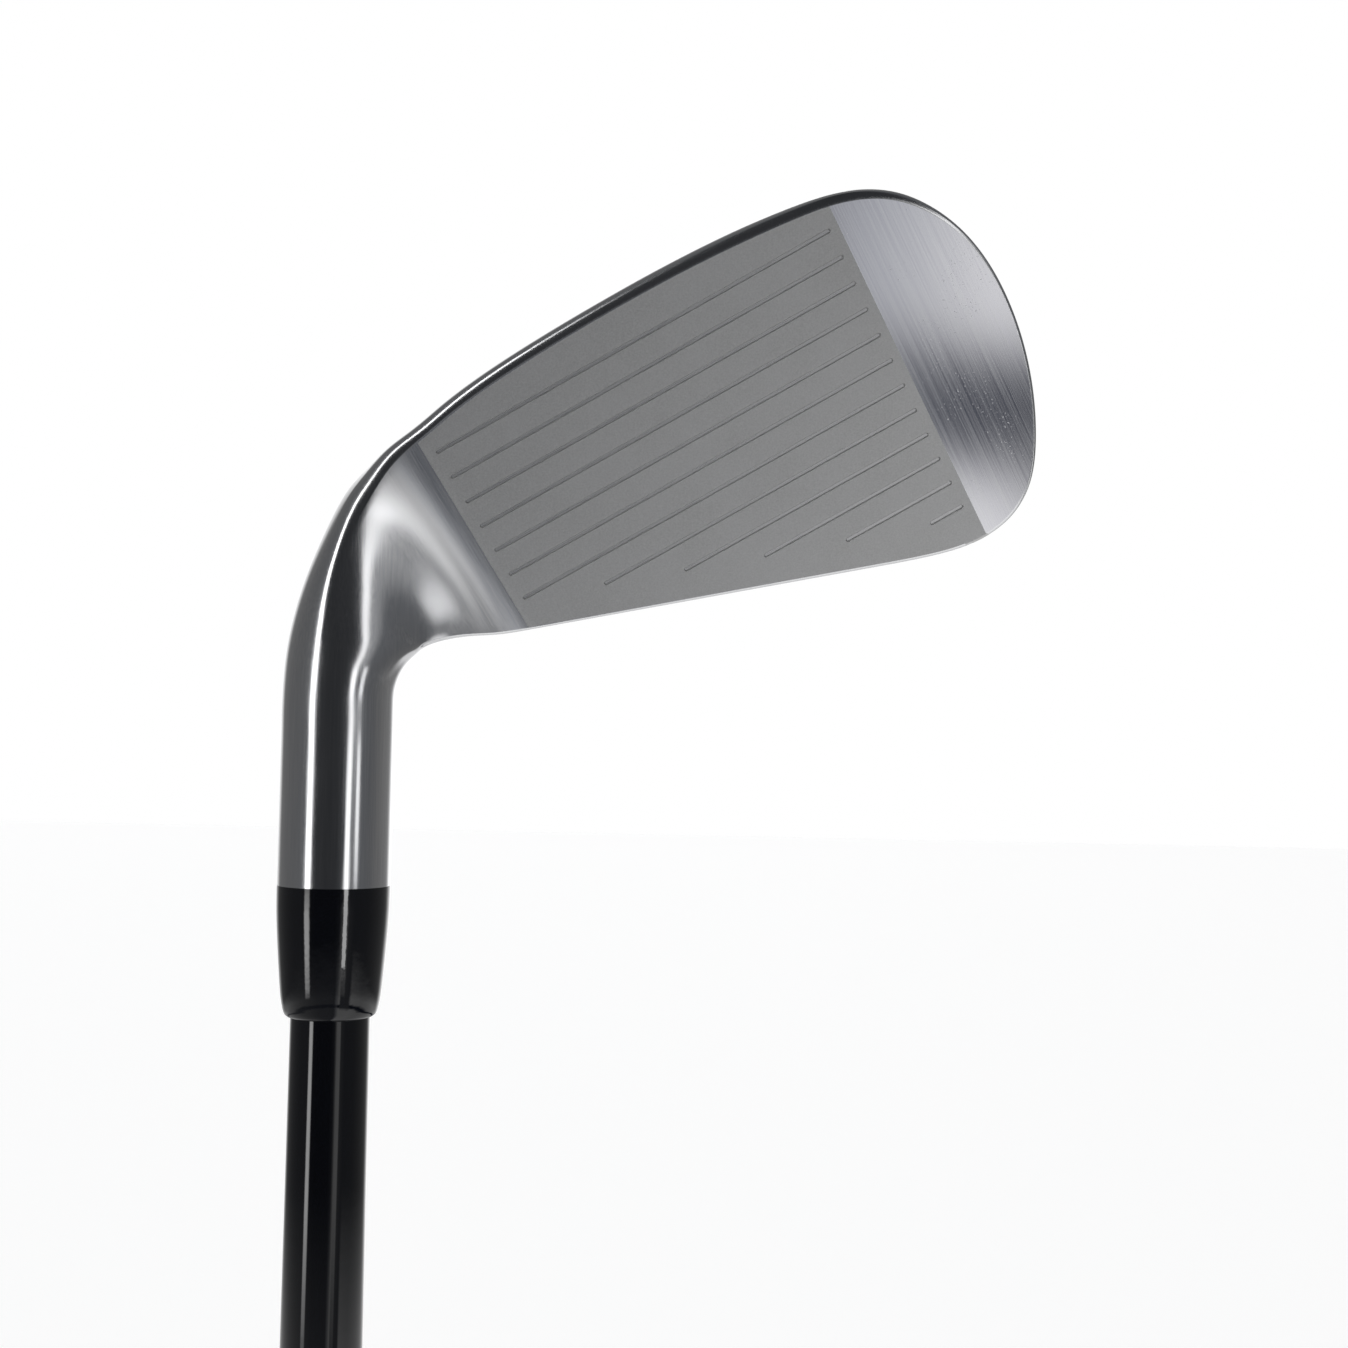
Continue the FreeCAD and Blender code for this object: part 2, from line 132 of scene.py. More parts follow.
def spline(knots, points, wanted):
    """Natural cubic spline through points at knots, read at the wanted values."""
    knots = np.asarray(knots, float)
    points = np.asarray(points, float)
    shape = points.shape[1:]
    flat = points.reshape(len(knots), -1)
    gap = np.diff(knots)
    size = len(knots)
    matrix = np.zeros((size, size))
    right = np.zeros((size, flat.shape[1]))
    matrix[0, 0] = matrix[-1, -1] = 1.0
    for k in range(1, size - 1):
        matrix[k, k - 1:k + 2] = gap[k - 1], 2 * (gap[k - 1] + gap[k]), gap[k]
        right[k] = 6 * ((flat[k + 1] - flat[k]) / gap[k] - (flat[k] - flat[k - 1]) / gap[k - 1])
    bend = np.linalg.solve(matrix, right)
    wanted = np.asarray(wanted, float)
    k = np.clip(np.searchsorted(knots, wanted) - 1, 0, size - 2)
    a = (knots[k + 1] - wanted)[:, None]
    b = (wanted - knots[k])[:, None]
    g = gap[k][:, None]
    value = (bend[k] * a ** 3 + bend[k + 1] * b ** 3) / (6 * g)
    value += (flat[k] / g - bend[k] * g / 6) * a + (flat[k + 1] / g - bend[k + 1] * g / 6) * b
    return value.reshape((len(wanted),) + shape)


def along(points):
    """Distance along a row of points."""
    steps = np.linalg.norm(np.diff(np.asarray(points, float), axis=0), axis=1)
    return np.concatenate([[0.0], np.cumsum(steps)])


# ---- shared tools ----
def make_object(name, points, faces, weld=0.0):
    """A mesh object from points in metres, with points closer than weld made one."""
    mesh = bpy.data.meshes.new(name)
    mesh.from_pydata(np.asarray(points, float).tolist(), [], faces)
    mesh.validate()
    work = bmesh.new()
    work.from_mesh(mesh)
    if weld:
        bmesh.ops.remove_doubles(work, verts=work.verts, dist=weld)
    bmesh.ops.recalc_face_normals(work, faces=work.faces)
    work.to_mesh(mesh)
    work.free()
    return add_object(name, mesh)


def crisp(piece, angle):
    """Smooth shading that breaks at edges sharper than angle."""
    mesh = piece.data
    mesh.polygons.foreach_set("use_smooth", np.ones(len(mesh.polygons), bool))
    mesh.set_sharp_from_angle(angle=math.radians(angle))
    even = piece.modifiers.new("even_normals", "WEIGHTED_NORMAL")
    even.keep_sharp = True


def dress(piece, node_name, slot, angle, *finishes):
    """Give a piece its materials and shading, put it under the root body and hide the CAD node that it
    stands for; slot is not used.
    """
    for finish in finishes:
        piece.data.materials.append(finish)
    crisp(piece, angle)
    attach(piece, "root")
    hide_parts(node_name)


def cut(target, tool):
    """Take the tool's solid away from the target and remove the tool."""
    change = target.modifiers.new("cut", "BOOLEAN")
    change.operation = "DIFFERENCE"
    change.solver = "EXACT"
    change.object = tool
    evaluated = target.evaluated_get(bpy.context.evaluated_depsgraph_get())
    mesh = bpy.data.meshes.new_from_object(evaluated)
    target.modifiers.clear()
    target.data = mesh
    bpy.data.objects.remove(tool)


def ring_faces(count, size):
    """The faces between neighbours in a row of closed rings."""
    faces = []
    for a in range(count - 1):
        for b in range(size):
            c = (b + 1) % size
            faces.append((a * size + b, a * size + c, (a + 1) * size + c, (a + 1) * size + b))
    return faces


def prism(name, rings):
    """A closed solid through rings of equal length, in metres."""
    rings = np.asarray(rings, float)
    count, size = rings.shape[:2]
    faces = ring_faces(count, size)
    faces.append(tuple(range(size)))
    faces.append(tuple(range((count - 1) * size, count * size)))
    return make_object(name, rings.reshape(-1, 3), faces)


def lathe(name, profile, steps):
    """A ring turned about the shaft axis from a closed profile of (radius, z)."""
    profile = np.asarray(profile, float)
    turn = np.linspace(0, 2 * math.pi, steps, endpoint=False)
    radius, z = profile[:, 0], profile[:, 1]
    rings = np.stack([
        np.outer(np.cos(turn), radius),
        np.outer(np.sin(turn), radius),
        np.tile(z, (steps, 1)),
    ], axis=-1)
    size = len(profile)
    faces = []
    for a in range(steps):
        b = (a + 1) % steps
        for k in range(size):
            m = (k + 1) % size
            faces.append((a * size + k, b * size + k, b * size + m, a * size + m))
    return make_object(name, rings.reshape(-1, 3), faces)


# ---- outline of the blade ----
# the heel turns about a line along y through this point
PIVOT_X, PIVOT_Z = -1.3, 32.05
TOPLINE_SLOPE = 0.36
TOPLINE_START = 7.0


def topline(x):
    """The height up the face of the straight topline."""
    return 33.4 + TOPLINE_SLOPE * (x - 19.0)


def top_height(x):
    """The height of the blade's top, which rises from the heel to the straight topline."""
    if x >= TOPLINE_START:
        return topline(x)
    span = TOPLINE_START - PIVOT_X
    part = (x - PIVOT_X) / span
    low = 24.0 / COS
    h00 = 2 * part ** 3 - 3 * part ** 2 + 1
    h01 = 3 * part ** 2 - 2 * part ** 3
    h11 = part ** 3 - part ** 2
    return low * h00 + topline(TOPLINE_START) * h01 + TOPLINE_SLOPE * span * h11


def heel_low(x):
    """The lowest z of the round part at x."""
    return -3.2 + 4.7 * math.exp(-(x - PIVOT_X) / 9.4)


def bottom_height(x):
    """The height up the face of the leading edge, before it is rounded."""
    middle = 40.5
    reach = abs(x - middle) / 26.0
    if x < middle:
        height = -1.69 + 0.92 * reach ** 2 + 0.33 * reach ** 4 + 0.28 * reach ** 6
        share = float(smooth((14.0 - x) / 9.0))
        return height + ((heel_low(x) + SOLE_DROP) / COS - height) * share
    return -1.69 + 1.35 * reach ** 2 + 0.55 * reach ** 4


def waist_height(x):
    return max(16.0, 0.45 * top_height(x) + 4.0)


# A ring round the head has ten stretches with these numbers of steps.
STEPS = {
    "face_up": 12, "face_down": 12, "edge": 16, "sole": 36, "trail": 16,
    "back_low": 30, "back_high": 30, "top_back": 16, "top": 36, "top_front": 16,
}
ORDER = list(STEPS)
HOSEL_ANGLES = [25, 65, 102, 132, 210, 245, 292, 335, 341, 379, 385]
HOSEL_RADIUS = 6.87


def stretch(points, count):
    """Points evenly spread over a polyline, leaving out the last."""
    length = along(points)
    wanted = np.linspace(0.0, length[-1], count + 1)[:-1]
    points = np.asarray(points, float)
    return np.stack([np.interp(wanted, length, points[:, k]) for k in range(2)], axis=1)


def corner(before, middle, after, radius, count):
    """A rounded corner as (start, arc points without the last, end)."""
    a = np.asarray(before, float) - middle
    b = np.asarray(after, float) - middle
    a /= np.linalg.norm(a)
    b /= np.linalg.norm(b)
    half = math.acos(float(np.clip(a @ b, -1, 1))) / 2.0
    reach = radius / math.tan(half)
    start, end = middle + a * reach, middle + b * reach
    axis = (a + b) / np.linalg.norm(a + b)
    centre = middle + axis * (radius / math.sin(half))
    u, v = start - centre, end - centre
    turn = math.pi - 2 * half
    k = np.linspace(0, 1, count + 1)[:-1, None]
    arc = centre + (np.sin((1 - k) * turn) * u + np.sin(k * turn) * v) / math.sin(turn)
    return start, arc, end


def blade_ring(x):
    """The ring of (setback, z) points at x, starting at the topline's front edge."""
    top, low = top_height(x), bottom_height(x)
    waist_h = waist_height(x)

    def pair(height, depth):
        return np.array([height * SIN + depth * COS, height * COS - depth * SIN])

    radius = 1.5
    front = math.radians(16.0)
    turn = math.acos(-SIN * math.cos(front) + COS * math.sin(front))
    tangent = radius * math.tan(turn / 2)
    start = pair(low + tangent, 0.0)
    centre = start + radius * np.array([COS, -SIN])
    first = math.atan2(start[1] - centre[1], start[0] - centre[0])
    angles = first + turn * np.linspace(0, 1, STEPS["edge"] + 1)
    edge = centre + radius * np.stack([np.cos(angles), np.sin(angles)], axis=1)
    begin = edge[-1]
    width = 16.0 + 3.5 * float(smooth((x - 5.0) / 60.0))
    length = width - begin[0] - 2.0
    fall0, fall1 = -math.tan(front), math.tan(math.radians(9.0))
    part = np.linspace(0, 1, 13)
    fall = fall0 * part + (fall1 - fall0) * part ** 2 / 2
    sole = np.stack([begin[0] + length * part, begin[1] + length * fall], axis=1)
    last = sole[-1]
    rise = 4.6 + 2.4 * float(smooth((x - 10.0) / 50.0))
    waist = pair(waist_h, 8.6)
    ledge = last + [2.1, rise + 1.2]
    rim = pair(top - 0.3, 5.9)
    rear = [
        last, last + [1.35, 0.75], last + [2.0, 2.2], ledge,
        [ledge[0] * 0.93 + waist[0] * 0.07 + 0.1, ledge[1] * 0.75 + waist[1] * 0.25],
        [ledge[0] * 0.62 + waist[0] * 0.38, ledge[1] * 0.42 + waist[1] * 0.58],
        waist,
    ]
    rear += [waist + (rim - waist) * k for k in (0.33, 0.67, 1.0)]
    lead = sole[-4:-1]
    curve = np.array(list(lead) + rear)
    knots = along(curve)
    fine = np.concatenate([np.linspace(knots[k], knots[k + 1], 9)[:-1] for k in range(3, 12)])
    path = spline(knots, curve, np.append(fine, knots[12]))
    # the path's stretches: trailing edge, ledge to waist, waist to rim
    trail, back_low, back_high = path[:25], path[24:49], path[48:]
    crest = np.array([rim, pair(top + 0.25, 3.9), pair(top + 0.25, 1.7), pair(top, 0.0)])
    knots = along(crest)
    crest = spline(knots, crest, np.linspace(0, knots[-1], 41))
    a0, arc_a, a1 = corner(back_high[-12], rim, crest[10], 1.1, STEPS["top_back"])
    b0, arc_b, b1 = corner(crest[-10], pair(top, 0.0), pair(top - 5, 0), 0.5, STEPS["top_front"])

    def trimmed(points, end):
        """A polyline that ends at a corner's tangent point instead."""
        gap = np.linalg.norm(points - points[-1], axis=1)
        return np.vstack([points[gap > np.linalg.norm(points[-1] - end) + 1e-6], end])

    middle = pair(waist_h, 0.0)
    return np.concatenate([
        stretch([b1, middle], STEPS["face_up"]),
        stretch([middle, start], STEPS["face_down"]),
        edge[:-1],
        stretch(sole, STEPS["sole"]),
        stretch(trail, STEPS["trail"]),
        stretch(back_low, STEPS["back_low"]),
        stretch(trimmed(back_high, a0), STEPS["back_high"]),
        arc_a,
        stretch(trimmed(trimmed(crest, b0)[::-1], a1)[::-1], STEPS["top"]),
        arc_b,
    ])


def ring_angles():
    """Each ring point's angle in degrees on the round hosel."""
    return np.concatenate([
        np.linspace(a, b, STEPS[name] + 1)[:-1]
        for name, a, b in zip(ORDER, HOSEL_ANGLES[:-1], HOSEL_ANGLES[1:])
    ])


def hosel_ring(reach_in, reach_out):
    """An ellipse as (side, reach) points with the same stretches as a blade ring."""
    middle, half = (reach_in + reach_out) / 2, (reach_out - reach_in) / 2
    angles = np.radians(ring_angles())
    return np.stack([HOSEL_RADIUS * np.sin(angles), middle - half * np.cos(angles)], axis=1)


FAN_RADIUS = 8.03
# the angle that the heel turns through in degrees, and the length it counts for in the blend
FAN_TURN = 60.0
FAN_LENGTH = 16.8
# where the round hosel starts and ends turning into the blade's shape
BLEND_START, BLEND_END = 2.5, 30.0
HEEL_LINE = 10.1
TOE_LINE = 68.0
TOE_PIVOT = 55.0


def blend_weight(distance):
    """0 for the round hosel and 1 for the blade's shape, without a jump in curvature."""
    part = min(max((distance - BLEND_START) / (BLEND_END - BLEND_START), 0.0), 1.0)
    return part ** 3 * (10.0 - 15.0 * part + 6.0 * part ** 2)


def heel_reach(angle):
    """How far the heel's outer side is from the pivot, at an angle in degrees."""
    part = angle / FAN_TURN
    return 21.77 + 6.03 * part ** 2 + 1.25 * part ** 3 + 1.47 * part ** 4


def fan_ring(angle):
    """A ring of the heel, turned about the pivot by an angle in degrees from the hosel."""
    reach_out = heel_reach(angle)
    ring = hosel_ring(FAN_RADIUS, reach_out)
    low, high = PIVOT_Z - heel_reach(FAN_TURN), PIVOT_Z - FAN_RADIUS
    scale = (reach_out - FAN_RADIUS) / (high - low)
    blade = blade_ring(PIVOT_X)
    blade = np.stack([EDGE_Y - blade[:, 0], FAN_RADIUS + (high - blade[:, 1]) * scale], axis=1)
    ring = ring + (blade - ring) * blend_weight(FAN_LENGTH * angle / FAN_TURN)
    turn = LIE - math.radians(angle)
    side, reach = ring[:, 0], ring[:, 1]
    return np.stack([PIVOT_X - reach * math.sin(turn), side, PIVOT_Z - reach * math.cos(turn)], axis=1)


def blade_station(x):
    """A ring of the blade at x."""
    blade = blade_ring(x)
    ring = np.stack([EDGE_Y - blade[:, 0], blade[:, 1]], axis=1)
    weight = blend_weight(FAN_LENGTH + x - PIVOT_X)
    if weight < 1.0:
        low = heel_low(x)
        high = top_height(x) * COS
        oval = hosel_ring(-high, -low)
        oval[:, 1] *= -1
        ring = oval + (ring - oval) * weight
    return np.stack([np.full(len(ring), x), ring[:, 0], ring[:, 1]], axis=1)


def hosel_station(along_shaft):
    """A round ring at a distance along the shaft axis from the head's origin."""
    ring = hosel_ring(-HOSEL_RADIUS, HOSEL_RADIUS)
    across = -ring[:, 1]
    x = across * math.sin(LIE) + along_shaft * math.cos(LIE)
    z = across * math.cos(LIE) - along_shaft * math.sin(LIE)
    return np.stack([x, ring[:, 0], z], axis=1)


def head_rings():
    """Every ring from the hosel's end to the toe's pivot."""
    bend = -28.41
    hosel_keys, fan_keys, blade_keys = 7, 6, 6
    keys = [hosel_station(bend - 3.9 * k) for k in range(hosel_keys, 0, -1)]
    keys += [fan_ring(FAN_TURN / 5 * k) for k in range(fan_keys)]
    keys += [blade_station(HEEL_LINE + 3.8 * (k - 2)) for k in range(blade_keys)]
    keys = np.array(keys)
    gaps = np.linalg.norm(np.diff(keys, axis=0), axis=2).mean(axis=1)
    knots = np.concatenate([[0.0], np.cumsum(gaps)])
    # the third blade key is at the heel line, and the rest only guide the curve past it
    wanted = []
    for k in range(hosel_keys + fan_keys + 2):
        count = 4 if k < hosel_keys - 1 else 7
        wanted += list(np.linspace(knots[k], knots[k + 1], count + 1)[:-1])
    # face off the hosel at its end
    end = -HOSEL_REACH
    rings = [hosel_station(end), hosel_station(end + 0.15)]
    for ring in spline(knots, keys, wanted):
        shaft_way = ring[:, 0] * math.cos(LIE) - ring[:, 2] * math.sin(LIE)
        if shaft_way.min() > end + 0.4:
            rings.append(ring)
    count = int(round((TOE_PIVOT - HEEL_LINE) / 0.9))
    rings += [blade_station(x) for x in np.linspace(HEEL_LINE, TOE_PIVOT, count + 1)]
    return np.array(rings)


# The toe's outline on the face plane, from the topline round to the leading edge.
TOE = [
    (50.0, topline(50.0)), (55.0, topline(55.0)), (60.0, 48.05), (64.5, 49.2), (68.5, 49.45), (72.3, 48.6),
    (75.7, 46.3), (79.0, 41.3), (81.4, 35.0), (82.8, 28.5), (83.2, 22.5), (82.8, 17.3),
    (81.5, 12.3), (79.3, 8.0), (76.3, 4.5), (72.7, 2.15), (69.0, 0.78), (65.0, -0.06),
    (60.0, -0.75), (55.0, -1.22), (50.0, -1.49),
]


def toe_radius(angles):
    """Distance from the toe's pivot to the outline at angles from the leading edge up."""
    height = waist_height(TOE_PIVOT)
    knots = along(TOE)
    line = spline(knots, TOE, np.linspace(0, knots[-1], 1200)) - [TOE_PIVOT, height]
    bearing = np.arctan2(line[:, 1], line[:, 0])
    reach = np.linalg.norm(line, axis=1)
    order = np.argsort(bearing)
    return np.interp(angles, bearing[order], reach[order])


def toe_profile(reach):
    """The toe's own section as (distance from pivot, depth), in the ring's stretches."""
    thick = 7.6
    outer = np.array([reach - 0.25, thick])
    front = np.array([reach, 0.0])
    side = np.array([front, [reach + 0.22, 2.2], [reach + 0.22, 4.9], outer])
    knots = along(side)
    side = spline(knots, side, np.linspace(0, knots[-1], 41))
    a0, arc_a, a1 = corner([0.0, 0.0], front, side[8], 0.5, STEPS["edge"])
    b0, arc_b, b1 = corner(side[-9], outer, [0.0, 8.6], 1.3, STEPS["trail"])
    keep = side[(side[:, 1] > a1[1] + 0.02) & (side[:, 1] < b0[1] - 0.02)]
    return np.concatenate([
        stretch([[0.0, 0.0], a0], STEPS["face_down"]),
        arc_a,
        stretch(np.vstack([a1[None], keep, b0[None]]), STEPS["sole"]),
        arc_b,
        stretch([b1, [0.0, 8.6]], STEPS["back_low"]),
    ])


def toe_fan(ring):
    """Half rings turned about the toe's pivot, from the topline to the leading edge."""
    height = waist_height(TOE_PIVOT)
    y, z = ring[:, 1], ring[:, 2]
    face_height = (EDGE_Y - y) * SIN + z * COS
    depth = (EDGE_Y - y) * COS - z * SIN
    flat = np.stack([face_height - height, depth], axis=1)
    starts = np.concatenate([[0], np.cumsum([STEPS[name] for name in ORDER])])
    at = dict(zip(ORDER, starts))
    low_ids = list(range(at["face_down"], at["back_high"]))
    high_ids = list(range(at["face_down"], -1, -1))
    high_ids += list(range(len(ring) - 1, at["back_high"] - 1, -1))
    lower = flat[low_ids] * [-1, 1]
    upper = flat[high_ids][:len(lower)]
    pivot_back = flat[at["back_high"]]
    ends = (toe_radius(math.pi / 2), toe_radius(-math.pi / 2))
    upper_end, lower_end = math.radians(25), math.radians(-5)
    count = 120
    fan = []
    for k in range(1, count):
        angle = math.pi / 2 - math.pi * k / count
        reach = toe_radius(angle)
        up = upper * [reach / ends[0], 1]
        down = lower * [reach / ends[1], 1]
        toe = toe_profile(reach)
        if angle > upper_end:
            weight = float(smooth((math.pi / 2 - angle) / (math.pi / 2 - upper_end)))
            line = up + (toe - up) * weight
        elif angle < lower_end:
            weight = float(smooth((angle + math.pi / 2) / (lower_end + math.pi / 2)))
            line = down + (toe - down) * weight
        else:
            line = toe
        fan.append(from_face(
            TOE_PIVOT + line[:, 0] * math.cos(angle),
            height + line[:, 0] * math.sin(angle),
            line[:, 1],
        ))
    return fan, low_ids, high_ids, at


def build_head():
    """The head's whole skin, closed at the hosel's end and fanned out over the toe."""
    rings = head_rings()
    count, size = rings.shape[:2]
    points = [rings.reshape(-1, 3)]
    faces = ring_faces(count, size)
    faces.append(tuple(range(size)))
    fan, low_ids, high_ids, at = toe_fan(rings[-1])
    base = (count - 1) * size
    rows = [[base + k for k in high_ids[:len(low_ids)]]]
    pivot_front = base + at["face_down"]
    pivot_back = base + at["back_high"]
    total = count * size
    for line in fan:
        ids = [pivot_front] + list(range(total, total + len(line) - 1))
        points.append(line[1:])
        total += len(line) - 1
        rows.append(ids)
    rows.append([base + k for k in low_ids])
    for row, following in zip(rows[:-1], rows[1:]):
        row, following = row + [pivot_back], following + [pivot_back]
        for k in range(len(row) - 1):
            quad = [row[k], row[k + 1], following[k + 1], following[k]]
            quad = [v for n, v in enumerate(quad) if v != quad[n - 1]]
            if len(quad) > 2:
                faces.append(tuple(quad))
    return make_object("head_body", place(np.concatenate(points)), faces, weld=2e-6)


head = build_head()


# ---- outlines on the face plane ----
def rounded_outline(corners):
    """Points round a closed outline of (x, height, corner radius) on the face plane."""
    points = []
    count = len(corners)
    for k in range(count):
        here = np.array(corners[k][:2])
        before = np.array(corners[k - 1][:2])
        after = np.array(corners[(k + 1) % count][:2])
        radius = corners[k][2]
        arc, end = corner(before, here, after, radius, 10)[1:]
        points += list(arc) + [end]
    return np.array(points)


def inset(outline, distance):
    """The outline moved inwards by a distance."""
    ahead = np.roll(outline, -1, axis=0) - outline
    behind = outline - np.roll(outline, 1, axis=0)
    along_it = ahead / np.linalg.norm(ahead, axis=1)[:, None]
    along_it += behind / np.linalg.norm(behind, axis=1)[:, None]
    along_it /= np.linalg.norm(along_it, axis=1)[:, None]
    area = np.sum(outline[:, 0] * np.roll(outline[:, 1], -1) - outline[:, 1] * np.roll(outline[:, 0], -1))
    side = 1.0 if area > 0 else -1.0
    return outline + np.stack([-along_it[:, 1], along_it[:, 0]], axis=1) * distance * side


def layer(outline, depth):
    """An outline on the face plane at a depth behind it, as points in metres."""
    return place(from_face(outline[:, 0], outline[:, 1], depth))


# ---- cuts in the head ----
BORE_RADIUS = 4.9 * MM
BORE_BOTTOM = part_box("tip_weight")[1][2]
FACE_THICKNESS = 3.0
CAVITY = [
    (17.0, 14.5, 3.0), (60.0, 13.5, 8.0), (74.5, 16.5, 9.0), (76.5, 30.0, 9.0),
    (69.5, 43.4, 7.0), (62.0, 42.8, 8.0), (19.0, 27.3, 3.0),
]
GROOVE_FIRST, GROOVE_PITCH = 4.5, 3.6
GROOVE_STARTS = (11.4,) * 7 + (21.3, 31.1, 41.0, 51.3, 62.0)
GROOVE_END = 66.9
GROOVE_WIDTH, GROOVE_DEPTH = 0.60, 0.22


def bore_tool():
    turn = np.linspace(0, 2 * math.pi, 72, endpoint=False)
    ring = np.stack([BORE_RADIUS * np.cos(turn), BORE_RADIUS * np.sin(turn), 0 * turn], axis=1)
    low, high = ring.copy(), ring.copy()
    low[:, 2] = HOSEL_END - 2 * MM
    high[:, 2] = BORE_BOTTOM
    return prism("bore_tool", [low, high])


def cavity_tool():
    outline = rounded_outline(CAVITY)
    return prism("cavity_tool", [
        layer(inset(outline, 0.5), FACE_THICKNESS),
        layer(inset(outline, 0.12), FACE_THICKNESS + 0.35),
        layer(outline, FACE_THICKNESS + 0.9),
        layer(outline, 45.0),
    ])


def stadium(start, end, height, half):
    """A long hole's outline on the face plane."""
    turn = np.linspace(-90, 90, 9)
    right = np.radians(turn)
    left = np.radians(turn + 180)
    x = np.concatenate([end - half + half * np.cos(right), start + half + half * np.cos(left)])
    z = np.concatenate([height + half * np.sin(right), height + half * np.sin(left)])
    return np.stack([x, z], axis=1)


def groove_tool(number, start):
    height = GROOVE_FIRST + GROOVE_PITCH * number
    half = GROOVE_WIDTH / 2
    return prism("groove_tool", [
        layer(stadium(start - 0.1, GROOVE_END + 0.1, height, half + 0.12), -0.2),
        layer(stadium(start, GROOVE_END, height, half), 0.0),
        layer(stadium(start + 0.13, GROOVE_END - 0.13, height, half * 0.58), GROOVE_DEPTH),
    ])


def joined(name, pieces):
    """One object from several."""
    work = bmesh.new()
    for piece in pieces:
        work.from_mesh(piece.data)
        bpy.data.objects.remove(piece)
    mesh = bpy.data.meshes.new(name)
    work.to_mesh(mesh)
    work.free()
    return add_object(name, mesh)


def score_toe_line(piece):
    """Split the hitting face along the line where the blasting ends."""
    work = bmesh.new()
    work.from_mesh(piece.data)
    faces = [f for f in work.faces if f.normal.dot(FACE_NORMAL) > 0.9999]
    parts = set(faces)
    for face in faces:
        parts.update(face.edges)
        parts.update(face.verts)
    point = Vector(place(from_face(TOE_LINE, 0.0, 0.0)))
    bmesh.ops.bisect_plane(work, geom=list(parts), dist=1e-7, plane_co=point, plane_no=X_WAY)
    work.to_mesh(piece.data)
    work.free()


FACE_ORIGIN = Vector(place(from_face(0.0, 0.0, 0.0)))
X_WAY = (Vector(place(from_face(1.0, 0.0, 0.0))) - FACE_ORIGIN).normalized()
UP_WAY = (Vector(place(from_face(0.0, 1.0, 0.0))) - FACE_ORIGIN).normalized()
FACE_NORMAL = (FACE_ORIGIN - Vector(place(from_face(0.0, 0.0, 1.0)))).normalized()

score_toe_line(head)
cut(head, joined("cuts", [bore_tool(), cavity_tool()] + [
    groove_tool(number, start) for number, start in enumerate(GROOVE_STARTS)
]))

BODY, BLASTED, TOE_BRUSHED, CAVITY_FLOOR, GROOVE_FLOOR = range(5)


def head_zones(piece):
    """Set the material number of each of the head's faces."""
    faces = piece.data.polygons
    centre = np.array([face.center for face in faces]) - np.array(FACE_ORIGIN)
    normal = np.array([face.normal for face in faces])
    x = centre @ np.array(X_WAY) / MM
    height = centre @ np.array(UP_WAY) / MM
    depth = -(centre @ np.array(FACE_NORMAL)) / MM
    facing = normal @ np.array(FACE_NORMAL)
    zone = np.full(len(faces), BODY)
    plane = (np.abs(depth) < 0.02) & (facing > 0.999) & (x > HEEL_LINE - 0.01)
    zone[plane] = TOE_BRUSHED
    zone[plane & (x < TOE_LINE)] = BLASTED
    in_grooves = (depth > 0.001) & (depth < 0.5) & (x > HEEL_LINE) & (x < TOE_LINE)
    zone[in_grooves & (height > 3.9) & (height < topline(x) - 1.0)] = BLASTED
    zone[in_grooves & (facing > 0.999) & (np.abs(depth - GROOVE_DEPTH) < 0.01)] = GROOVE_FLOOR
    zone[(np.abs(depth - FACE_THICKNESS) < 0.02) & (facing < -0.99)] = CAVITY_FLOOR
    faces.foreach_set("material_index", zone)
    # flat shading keeps the face plane free of streaks beside the scorelines
    faces.foreach_set("use_smooth", ~(plane & (facing > 0.99999)))


# ---- materials ----
def feed(tree, owner, inputs):
    """Give a node's inputs values or other nodes' outputs."""
    for key, value in inputs.items():
        socket = owner.inputs[key]
        if isinstance(value, bpy.types.NodeSocket):
            tree.links.new(value, socket)
        else:
            socket.default_value = value


def node(tree, kind, inputs=None, **settings):
    """A shader node whose inputs are values or other nodes' outputs."""
    made = tree.nodes.new(kind)
    for key, value in settings.items():
        setattr(made, key, value)
    feed(tree, made, inputs or {})
    return made


def maths(tree, operation, a, b=0.0):
    return node(tree, "ShaderNodeMath", {0: a, 1: b}, operation=operation).outputs[0]


def vector(tree, operation, a, b=(0, 0, 0)):
    made = node(tree, "ShaderNodeVectorMath", {0: a, 1: b}, operation=operation)
    return made.outputs["Value" if operation == "DOT_PRODUCT" else "Vector"]


def ramp(tree, factor, stops):
    """A colour ramp from (position, colour) stops."""
    made = node(tree, "ShaderNodeValToRGB", {0: factor})
    points = made.color_ramp.elements
    while len(points) < len(stops):
        points.new(0.5)
    for point, (position, colour) in zip(points, stops):
        point.position = position
        point.color = (*colour, 1)
    return made.outputs["Color"]


def mapped(tree, value, low, high, to_low=0.0, to_high=1.0):
    return node(tree, "ShaderNodeMapRange", {
        "Value": value, "From Min": low, "From Max": high, "To Min": to_low, "To Max": to_high,
    }).outputs["Result"]


def mixed_colour(tree, factor, a, b):
    return node(tree, "ShaderNodeMix", {0: factor, 6: a, 7: b}, data_type="RGBA").outputs[2]


def grey(value):
    return (value, value, value, 1)


def fibres(tree, lines, low, high, dark, light):
    """A colour that follows brushing lines between two tones."""
    return mixed_colour(tree, mapped(tree, lines, low, high), dark, light)


def start_material(name):
    """A material with its tree, its shader and the object's own coordinates."""
    made = bpy.data.materials.new(name)
    made.use_nodes = True
    tree = made.node_tree
    shader = tree.nodes["Principled BSDF"]
    where = node(tree, "ShaderNodeTexCoord").outputs["Object"]
    return made, tree, shader, where


